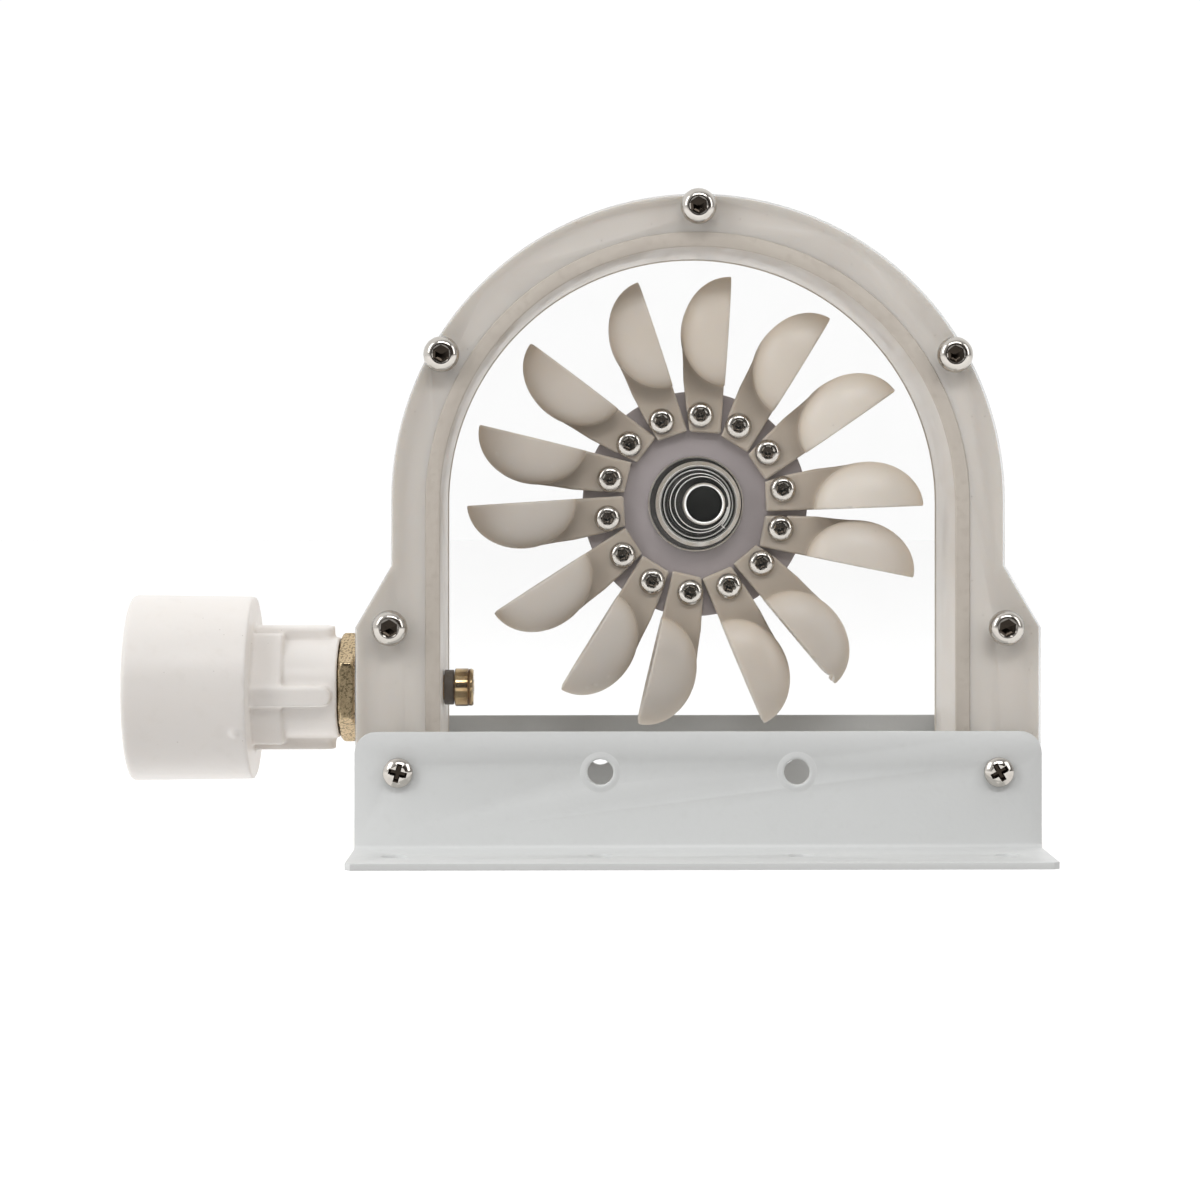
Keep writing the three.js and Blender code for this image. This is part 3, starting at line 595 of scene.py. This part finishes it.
def button_head(radius, height, socket, depth):
    """Profile of a button head with a hexagon socket, its flat side at zero and its dome at
    negative Y, in millimetres."""
    top = -height
    profile = [(0, top + depth + socket * 0.3), (hexagon(socket / 2), top + depth)]
    profile += [(hexagon(socket / 2), top + 0.35), (socket * 0.66, top)]
    crown = radius * 0.52
    for k in range(13):
        lean = k / 12 * math.pi / 2
        profile.append((crown + (radius - crown) * math.sin(lean),
                        top + (height - 0.5) * (1 - math.cos(lean))))
    profile += [(radius, -0.15), (radius - 0.15, 0)]
    return profile


def in_socket(points, top, reach):
    """1 inside a socket that opens at the top of a head, 0 elsewhere, where the socket's shade is
    painted dark; all in millimetres.
    """
    depth = points[:, 1] / MM - top
    near = np.hypot(points[:, 0], points[:, 2]) < reach * MM
    return near & (depth > 0.3) & (depth < 4)


def hex_nut(flat, start, thick, bore):
    """Profile of a nut with chamfered corners between two places along Y."""
    corner = hexagon(flat)
    drop = (corner - flat * 0.96) * math.tan(math.radians(28))
    return [(bore, start), (flat * 0.96, start), (corner, start + drop),
            (corner, start + thick - drop), (flat * 0.96, start + thick), (bore, start + thick)]


def thread_tip(radius, start, end, pitch):
    """Profile of a threaded end that points along +Y."""
    profile = []
    turns = int((end - start) / pitch)
    for k in range(turns):
        profile += [(radius, start + (k + 0.25) * pitch),
                    (radius - 0.5 * pitch, start + (k + 0.75) * pitch)]
    return profile + [(radius - 0.6 * pitch, end), (0, end)]


def scaled(profile):
    """A profile in millimetres, turned."""
    return lathe([(radius * MM, along * MM) for radius, along in profile])


def joined(*parts):
    points, faces, start = [], [], 0
    for more, more_faces in parts:
        points.append(more)
        faces += [[start + i for i in face] for face in more_faces]
        start += len(more)
    return np.concatenate(points), faces


def build_blade_screws():
    disc_back = (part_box("rotor_disc")[0].y + 6 * MM) / MM
    _, height, socket, _ = BLADE_SCREW_HEAD
    head, head_faces = scaled(button_head(*BLADE_SCREW_HEAD))
    head = head + np.array([0, -PLATE_HALF * MM, 0])
    tail = joined(scaled([(0, -PLATE_HALF), (2, -PLATE_HALF + 0.01)]
                         + thread_tip(2.0, disc_back + 2, disc_back + 4.6, 0.7)),
                  lathe([(r * MM, a * MM) for r, a in hex_nut(3.5, disc_back, 3.2, 1.9)],
                        closed=True))
    for index in range(BUCKETS):
        angle = math.radians(FIRST_BUCKET + index * 360 / BUCKETS)
        spot = Vector((math.sin(angle), 0, math.cos(angle))) * SCREW_CIRCLE * MM
        twist = Matrix.Rotation(0.9 * index + 0.35 * index * index, 4, "Y")
        points, faces = joined((head, head_faces), tail)
        place = Matrix.Translation(HUB + spot) @ twist
        piece = add_piece(f"blade_screw_{index + 1:02d}", moved(points, place), faces, "rotor")
        store(piece, "recess", in_socket(points, -PLATE_HALF - height, socket * 0.6))
        dress(piece, LOOKS["stainless"])


def lip(radius, along, half, steps=10):
    """Half a round bead on a profile, its crest towards -Y, from its outside to its inside."""
    turn = np.linspace(0, math.pi, steps)
    return list(zip(radius + half * np.cos(turn), along - half * np.sin(turn)))


def build_hub():
    """The rings round the shaft: (profile, shift along X, slot, CAD node) in millimetres."""
    cup_shift, sleeve_shift = 0.8, 2.2
    rings = {
        "rotor_disc_turned": ([(6.6, 1.8), (33.7, 1.8), (34, 2.1), (34, 7.5), (33.7, 7.8),
                               (13.4, 7.8), (13, 8.2), (13, 16.4), (12.6, 16.8), (6.6, 16.8)],
                              0, "grey_disc", ["rotor_disc"]),
        "hub_washer_turned": ([(6.6, 1.5), (14.4, 1.5), (14.4, -0.1), (14.0, -0.5),
                               (13.85, -0.4), (13.8, 1.2), (6.6, 1.2)],
                              0.2, "stainless", ["hub_washer"]),
        "seal_cup_turned": ([(7.5, -0.8), (12.8, -0.8), (12.8, -5.1), (11.85, -6.2),
                             (11.7, -6.35), (11.55, -6.3), (11.0, -5.7), (11.2, -2.0),
                             (7.5, -2.0)],
                            cup_shift, "stainless", ["seal_cup"]),
        "seal_bellows_turned": ([(7.8, -2.3), (10.9, -2.3)] + lip(10.55, -4.2, 0.35, 6)
                                + [(10.15, -3.4)] + lip(9.8, -4.8, 0.3, 6) + [(9.45, -3.8)]
                                + lip(9.1, -5.6, 0.35, 6) + [(8.7, -4.4)]
                                + lip(8.4, -6.4, 0.28, 6) + [(7.8, -5)],
                                cup_shift, "seal_rubber", ["seal_bellows"]),
        # A thin dark disc across the seal's middle, behind the sleeve: painted shade in the gap
        # between the sleeve and the bellows.
        "seal_gap_painted_shade": ([(0, -3.05), (7.7, -3.05), (7.7, -3.25), (0, -3.25)],
                             cup_shift, "seal_rubber", []),
        "seal_ring_turned": ([(10.05, -4.6), (10.5, -4.6)] + lip(10.28, -4.9, 0.22)
                             + [(10.05, -4.6)], cup_shift, "stainless", []),
        "seal_sleeve_turned": ([(5.72, -3.3), (6.3, -3.3), (6.3, -15.3), (6.0, -15.75),
                                (5.7, -15.95), (5.4, -15.8), (5.3, -15.5), (5.72, -15.42)],
                               sleeve_shift, "stainless", ["seal_sleeve"]),
        # A dark rubber lining and end disc inside the sleeve's bore: painted shade in the bore.
        "seal_bore_painted_shade": ([(5.4, -15.4), (5.7, -15.4), (5.7, -3.5), (0, -3.5), (0, -3.9),
                               (5.2, -4.0), (5.4, -4.3)],
                              sleeve_shift, "seal_rubber", []),
        "shaft_turned": ([(0, -3.0), (5.9, -3.0), (6.3, -2.6), (6.3, 54), (5, 54), (5, 65.4),
                          (4.4, 66), (0, 66)], 0, "shaft_steel", ["shaft"]),
    }
    for name, (profile, shift, slot, stands_for) in rings.items():
        closed = profile[0][0] > 0
        points, faces = lathe([(r * MM, a * MM) for r, a in profile], closed=closed)
        place = Matrix.Translation(HUB + Vector((shift * MM, 0, 0)))
        piece = add_piece(name, moved(points, place), faces, "rotor", stands_for)
        # painted shade: turned steel more than the lip depth behind a ring's front is painted dark
        behind_lip = points[:, 1] > points[:, 1].min() + LIP_DEPTH * MM
        store(piece, "recess", behind_lip)
        dress(piece, TURNED_STEEL if slot == "stainless" else LOOKS[slot])


def wire(path, radius, around=12):
    """A round wire along a path, with flat ends."""
    points, faces = [], []
    for k, spot in enumerate(path):
        ahead = path[min(k + 1, len(path) - 1)] - path[max(k - 1, 0)]
        side = ahead.cross(Vector((0, 1, 0))).normalized()
        up = side.cross(ahead).normalized()
        for m in range(around):
            angle = m * 2 * math.pi / around
            points.append(tuple(spot + (side * math.cos(angle) + up * math.sin(angle)) * radius))
    for k in range(len(path) - 1):
        for m in range(around):
            n = (m + 1) % around
            faces.append([k * around + m, k * around + n, (k + 1) * around + n,
                          (k + 1) * around + m])
    faces.append(list(range(around)))
    faces.append(list(range((len(path) - 1) * around, len(path) * around)))
    return np.array(points), faces


def build_spring():
    """The seal's tapered spring round its sleeve, with the bent wire end that sticks out."""
    steps, turns = 200, 2.1
    path = []
    for k in range(steps + 1):
        t = k / steps
        angle = math.radians(-43) + t * turns * 2 * math.pi
        radius = 9.4 - 1.9 * t
        shift = 0.8 + 1.2 * t
        path.append(Vector((shift + radius * math.cos(angle), -7.2 - 1.4 * t,
                            radius * math.sin(angle))))
    outwards = Vector((math.cos(math.radians(-43)), 0, math.sin(math.radians(-43))))
    path.insert(0, path[0] + outwards * 1.3 + Vector((0, -0.2, 0)))
    points, faces = wire(path, 0.17)
    points = moved(points * MM, Matrix.Translation(HUB))
    piece = add_piece("seal_spring", points, faces, "rotor", sharp=50)
    dress(piece, TURNED_STEEL)


# ---------- Housing fasteners ----------

def build_housing_bolts():
    for index in range(5):
        node = f"housing_bolt_{index + 1}"
        low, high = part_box(node)
        x, z = (low.x + high.x) / 2, (low.z + high.z) / 2
        _, height, socket, _ = HOUSING_BOLT_HEAD
        head_base = low.y / MM + height
        nut_start = high.y / MM - HOUSING_NUT_REACH
        head = [(r, a + head_base) for r, a in button_head(*HOUSING_BOLT_HEAD)]
        bolt = joined(
            scaled(head + [(3, head_base), (3, nut_start)]
                   + thread_tip(3.0, nut_start + 3, nut_start + HOUSING_NUT_REACH, 1.0)),
            lathe([(r * MM, a * MM) for r, a in hex_nut(5.0, nut_start, 5, 2.9)], closed=True))
        twist = Matrix.Rotation(0.4 + 1.1 * index, 4, "Y")
        place = Matrix.Translation((x, 0, z)) @ twist
        piece = add_piece(f"{node}_button", moved(bolt[0], place), bolt[1], "housing",
                          [node])
        store(piece, "recess", in_socket(bolt[0], head_base - height, socket * 0.6))
        dress(piece, LOOKS["stainless"])


def cross_head_field(x, y, z):
    """A pan head with a cross recess, its flat side at zero and its dome at negative Y."""
    dome = ellipsoid(x, y, z, (5.0, 3.1, 5.0))
    pan = np.maximum(dome, np.maximum(np.hypot(x, z) - 4.3, -PAN_HEAD_FACE - y))
    pan = np.maximum(pan, y)
    taper = 0.67 + 0.12 * (-y)
    arm_half, arm_reach = taper * 0.75, taper * 2.7
    cross = np.minimum(np.maximum(abs(x) - arm_half, abs(z) - arm_reach),
                       np.maximum(abs(z) - arm_half, abs(x) - arm_reach))
    cross = np.maximum(cross, y + 0.9)
    return np.maximum(pan, -cross)


def build_bracket_screws():
    low, high, step = (-4.8, -3.2, -4.8), (4.8, 0.4, 4.8), PAN_HEAD_STEP
    head, quads = surface_net(cross_head_field(*grid(low, high, step)), low, step)
    shank = scaled([(0, 0), (2.1, 0.01)] + thread_tip(2.1, 0.1, 21.6, 1.4))
    screw = joined((head * MM, quads.tolist()), shank)
    recess = in_socket(screw[0], -PAN_HEAD_FACE, CROSS_REACH) & (screw[0][:, 1] < -0.5 * MM)
    for index, node in enumerate(("front_bracket_screw_left", "front_bracket_screw_right",
                                  "rear_bracket_screw_left", "rear_bracket_screw_right")):
        low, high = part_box(node)
        spot = Vector(((low.x + high.x) / 2, low.y + PAN_HEAD_SEAT * MM, (low.z + high.z) / 2))
        turn = Matrix.Rotation(0.25 + 0.8 * index, 4, "Y")
        if node.startswith("rear"):
            spot.y = high.y - PAN_HEAD_SEAT * MM
            turn = Matrix.Rotation(math.pi, 4, "Z") @ turn
        piece = add_piece(f"{node}_pan", moved(screw[0], Matrix.Translation(spot) @ turn),
                          screw[1], "housing", [node])
        store(piece, "recess", recess)
        dress(piece, LOOKS["stainless"])


def build_hole_lips():
    """The low ring that punching raised round each open hole in the brackets' uprights."""
    low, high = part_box("front_bracket_screw_left")
    height = (low.z + high.z) / 2
    face = low.y + LIP_SEAT * MM
    profile = [(3.85, 0.05), (3.9, -0.1), (4.2, -0.26), (4.7, -0.24), (5.3, -0.1), (5.9, 0.0),
               (5.9, 0.05)]
    points, faces = lathe([(r * MM, a * MM) for r, a in profile], closed=True)
    for bracket, side in (("front", 1), ("rear", -1)):
        turn = Matrix.Rotation(0 if side > 0 else math.pi, 4, "Z")
        for hand, x in (("left", -UPRIGHT_HOLE_X), ("right", UPRIGHT_HOLE_X)):
            place = Matrix.Translation((HUB.x + x * MM, side * face, height)) @ turn
            piece = add_piece(f"{bracket}_hole_lip_{hand}", moved(points, place), faces,
                              "housing")
            dress(piece, LOOKS["white_powder_coat"])


# ---------- Inlet ----------

def prism_field(a, b, flat, first):
    """Distance from a hexagon with its flats at that distance and its first flat that way."""
    distance = np.full(a.shape, -1e9)
    for k in range(6):
        angle = math.radians(first + 60 * k)
        distance = np.maximum(distance, a * math.cos(angle) + b * math.sin(angle) - flat)
    return distance


def adapter_field(x, y, z):
    """x from the open end of the socket, y and z from the jet's axis, in millimetres."""
    radius = np.hypot(y, z)
    shoulder = 36.5
    body = np.maximum(radius - 27.85 + 0.45 * x / shoulder, abs(x - shoulder / 2) - shoulder / 2)
    body = np.maximum(body, (radius - 27.1 + abs(x - shoulder / 2) - shoulder / 2) * 0.707)
    neck = np.maximum(radius - 15.2, abs(x - 46) - 16.1)
    collar = np.maximum(prism_field(y, z, 16.45, 30), abs(x - 40.7) - 5.2)
    solid = smooth_union(np.minimum(body, neck), collar, 0.8)
    lean = math.radians(5.6)
    along = y * math.cos(lean) + z * math.sin(lean)
    up = -y * math.sin(lean) + z * math.cos(lean)
    for a, b in ((along, up), (up, along)):
        rib = np.maximum(np.hypot(a, np.maximum(x - 57.7, 0)) - 3, abs(b) - 18.65)
        rib = np.maximum(rib, 35.7 - x)
        solid = smooth_union(solid, rib, 0.9)
    sprue = np.sqrt((x - 33) ** 2 + (y + 24.1) ** 2 + (z + 11.6) ** 2) - 1.6
    solid = smooth_union(solid, sprue, 0.5)
    taper = np.clip((x - 30) / 1.5, 0, 1)
    bore = np.maximum(radius - 25 + taper * 4, x - 31.5)
    cone = np.maximum(radius - 21 + (x - 31.5) * 1.5, abs(x - 34) - 2.7)
    throat = radius - 13.3
    return np.maximum(solid, -np.minimum(np.minimum(bore, cone), throat))


def build_adapter():
    low_corner, high_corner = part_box("pipe_adapter")
    low, high, step = (-1.2, -28.8, -28.8), (63.6, 28.8, 28.8), ADAPTER_STEP
    points, quads = surface_net(adapter_field(*grid(low, high, step)), low, step)
    middle = (low_corner.z + high_corner.z) / 2
    place = Matrix.Translation((low_corner.x, 0, middle))
    piece = add_piece("pipe_adapter_moulding", moved(points * MM, place), quads, "housing",
                      ["pipe_adapter"], sharp=60)
    dress(piece, LOOKS["pipe_pvc"])


def brass_field(x, y, z):
    """x from the rear face of the hexagon, y and z from the jet's axis."""
    radius = np.hypot(y, z)
    hexagonal = np.maximum(prism_field(y, z, 14.29, 0), abs(x - 2.6) - 2.6)
    chamfer = (radius - 14.9 + (abs(x - 2.6) - 2.6) * 1.7) * 0.5
    hexagonal = np.maximum(hexagonal, chamfer)
    stub = np.maximum(radius - 13, abs(x + 6) - 7)
    nipple = np.maximum(radius - 10.5, abs(x - 16.2) - 11.1)
    solid = np.minimum(np.minimum(hexagonal, stub), nipple)
    return np.maximum(solid, 4.1 - radius)


def build_inlet():
    low_corner, high_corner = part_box("brass_fitting")
    middle = (low_corner.z + high_corner.z) / 2
    low, high, step = (-13.6, -17.2, -17.2), (28, 17.2, 17.2), BRASS_STEP
    points, quads = surface_net(brass_field(*grid(low, high, step)), low, step)
    place = Matrix.Translation((low_corner.x + 13 * MM, 0, middle))
    piece = add_piece("brass_fitting_cast", moved(points * MM, place), quads, "housing",
                      ["brass_fitting"], sharp=60)
    dress(piece, LOOKS["brass"])

    quarter = Matrix.Rotation(-math.pi / 2, 4, "Z")
    low_corner, high_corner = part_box("nozzle_tip")
    end = high_corner.x / MM
    start = end - 5.6
    tip = [(0, start - 12), (3.8, start - 12), (3.8, start), (5.35, start), (5.7, start + 0.35),
           (5.7, start + 3.9), (5.45, start + 4.15), (5.6, start + 4.4), (5.6, end - 0.5),
           (5.2, end), (2.6, end), (2.0, end - 0.6), (2.0, end - 3), (0, end - 3.2)]
    collar_low, collar_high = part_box("nozzle_collar")
    a, b = collar_low.x / MM, collar_high.x / MM
    collar = [(4.1, a), (5.05, a), (5.25, a + 0.2), (5.25, b - 0.2), (5.05, b), (4.1, b)]
    washer_low, washer_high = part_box("inlet_washer")
    a, b = washer_low.x / MM, washer_high.x / MM
    washer = [(10.8, a), (14.85, a), (15, a + 0.15), (15, b - 0.15), (14.85, b), (10.8, b)]
    for node, profile, closed, slot, material in (
            ("nozzle_tip", tip, False, "brass", TURNED_BRASS),
            ("nozzle_collar", collar, True, "grey_washer", LOOKS["grey_washer"]),
            ("inlet_washer", washer, True, "white_washer", LOOKS["white_washer"])):
        points, faces = lathe([(r * MM, s * MM) for r, s in profile], closed=closed)
        points = moved(points, Matrix.Translation((0, 0, middle)) @ quarter)
        piece = add_piece(f"{node}_turned", points, faces, "housing", [node])
        dress(piece, material)


# ---------- Rear bearing ----------

def build_bearing():
    low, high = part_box("bearing_housing")
    end = high.y / MM
    back, flange = end - 18, end - 14
    inner = low.y / MM
    profile = [(6.6, inner), (14.6, inner), (15, inner + 0.4), (15, back), (25.5, back),
               (26, back + 0.5), (26, flange - 0.6), (25.4, flange), (19, flange),
               (18, flange + 0.8), (17.2, end - 0.8), (16.4, end), (11.4, end),
               (11, end - 0.6), (11, end - 2.5), (6.6, end - 2.5)]
    points, faces = lathe([(r * MM, a * MM) for r, a in profile], closed=True)
    piece = add_piece("bearing_housing_turned", moved(points, Matrix.Translation(HUB)), faces,
                      "housing", ["bearing_housing"])
    dress(piece, LOOKS["machined_aluminium"])
    cap = [(0, 1.8), (hexagon(1.5), 1.5), (hexagon(1.5), 3.6), (1.9, 3.9), (2.6, 3.9),
           (2.75, 3.7), (2.75, 0), (0, 0)]
    points, faces = scaled(cap)
    for index in range(4):
        angle = math.radians(45 + 90 * index)
        reach = BEARING_SCREW_CIRCLE * MM
        spot = Vector((math.sin(angle) * reach, flange * MM, math.cos(angle) * reach))
        place = Matrix.Translation(HUB + spot) @ Matrix.Rotation(0.5 * index, 4, "Y")
        piece = add_piece(f"bearing_screw_{index + 1}", moved(points, place), faces, "housing")
        dress(piece, LOOKS["stainless"])


# ---------- CAD pieces that stay ----------

def soften(node, width, segments=2):
    """Rounds a CAD piece's sharp edges without touching its mesh."""
    piece = nodes[node]
    piece.data.shade_smooth()
    weld = piece.modifiers.new("weld", "WELD")
    weld.merge_threshold = 1e-6
    flat = piece.modifiers.new("flat", "DECIMATE")
    flat.decimate_type = "DISSOLVE"
    flat.angle_limit = math.radians(0.8)
    bevel = piece.modifiers.new("bevel", "BEVEL")
    bevel.width = width
    bevel.segments = segments
    bevel.limit_method = "ANGLE"
    bevel.angle_limit = math.radians(40)
    bevel.harden_normals = True


KEPT = {
    "housing_frame": ("housing_nylon", 0.0003),
    "front_window": ("clear_acrylic", 0.0009),
    "rear_window": ("clear_acrylic", 0.0009),
    "front_gasket": ("gasket_silicone", 0.0001),
    "rear_gasket": ("gasket_silicone", 0.0001),
    "front_bracket": ("white_powder_coat", 0.0005),
    "rear_bracket": ("white_powder_coat", 0.0005),
}
for node_name, (slot_name, edge) in KEPT.items():
    dress(nodes[node_name], LOOKS[slot_name])
    soften(node_name, edge)

for node_name in ("front_gasket", "rear_gasket"):
    press = nodes[node_name].modifiers.new("pressed", "DISPLACE")
    press.mid_level = 0
    press.strength = 0.29 * MM

build_buckets()
build_blade_screws()
build_hub()
build_spring()
build_housing_bolts()
build_bracket_screws()
build_hole_lips()
build_adapter()
build_inlet()
build_bearing()


# ---------- Studio ----------

def build_floor():
    data = bpy.data.meshes.new("floor")
    reach = 6.0
    data.from_pydata([(-reach, -reach, 0), (reach, -reach, 0), (reach, reach, 0),
                      (-reach, reach, 0)], [], [(0, 1, 2, 3)])
    floor = bpy.data.objects.new("floor", data)
    floor.visible_diffuse = False
    bpy.context.scene.collection.objects.link(floor)
    look = Look("floor", (0.93, 0.93, 0.93), 0.8, Emission_Strength=0.22,
                Emission_Color=(1, 1, 1, 1))
    look.tint(look.span(look.noise(2, 3), 0.35, 0.7, 0, 0.4), (0.91, 0.91, 0.91))
    dress(floor, look.material)


def build_world():
    """White all round, but dark behind the camera, low on its right, so that polished metal has
    something dark to show."""
    world = bpy.data.worlds.new("studio")
    world.use_nodes = True
    tree = world.node_tree
    background = tree.nodes["Background"]
    outwards = tree.nodes.new("ShaderNodeTexCoord").outputs["Generated"]
    facing = tree.nodes.new("ShaderNodeVectorMath")
    facing.operation = "DOT_PRODUCT"
    facing.inputs[1].default_value = Vector((0.43, -0.89, -0.1)).normalized()
    tree.links.new(outwards, facing.inputs[0])
    height = tree.nodes.new("ShaderNodeSeparateXYZ")
    tree.links.new(outwards, height.inputs[0])
    shades = []
    for source, values in ((facing.outputs["Value"], (0.0, 0.85, 1.0, 0.0)),
                           (height.outputs["Z"], (-0.7, -0.03, 2.0, 1.04))):
        shade = tree.nodes.new("ShaderNodeMapRange")
        tree.links.new(source, shade.inputs[0])
        for socket, value in zip((1, 2, 3, 4), values):
            shade.inputs[socket].default_value = value
        shades.append(shade.outputs[0])
    color = tree.nodes.new("ShaderNodeMix")
    color.data_type = "RGBA"
    tree.links.new(shades[0], color.inputs[0])
    color.inputs[6].default_value = (0.055, 0.046, 0.04, 1)
    color.inputs[7].default_value = (1, 1, 1, 1)
    tree.links.new(color.outputs[2], background.inputs["Color"])
    tree.links.new(shades[1], background.inputs["Strength"])
    bpy.context.scene.world = world


def add_light(name, spot, target, size, watts):
    data = bpy.data.lights.new(name, "AREA")
    data.shape = "RECTANGLE"
    data.size, data.size_y = size
    data.energy = watts
    light = bpy.data.objects.new(name, data)
    light.location = spot
    aim = Vector(target) - Vector(spot)
    light.rotation_euler = aim.to_track_quat("-Z", "Y").to_euler()
    bpy.context.scene.collection.objects.link(light)


def add_camera():
    """The fitted viewpoint: almost square on, a little left of the wheel and level with it."""
    data = bpy.data.cameras.new("camera")
    data.sensor_width = 36
    data.lens = 90.02
    data.shift_x = -50 / 1200
    data.shift_y = -100 / 1200
    data.clip_start = 0.05
    camera = bpy.data.objects.new("camera", data)
    yaw, pitch = 0.0168, -0.0018
    camera.location = (0.00567, -0.9059, 0.10478)
    camera.rotation_euler = (math.pi / 2 + pitch, 0, -yaw)
    bpy.context.scene.collection.objects.link(camera)
    bpy.context.scene.camera = camera


build_floor()
build_world()
add_light("front_left", (-1.0, -0.9, 0.75), (0.0, 0.0, 0.1), (0.5, 0.9), 4.6)
add_light("front_right", (1.1, -0.8, 0.6), (0.0, 0.0, 0.1), (0.5, 0.9), 3.6)
add_light("front_top", (0.15, -1.1, 1.0), (0.0, 0.0, 0.1), (0.9, 0.3), 5.5)
add_camera()
bpy.context.scene.view_settings.view_transform = "Standard"
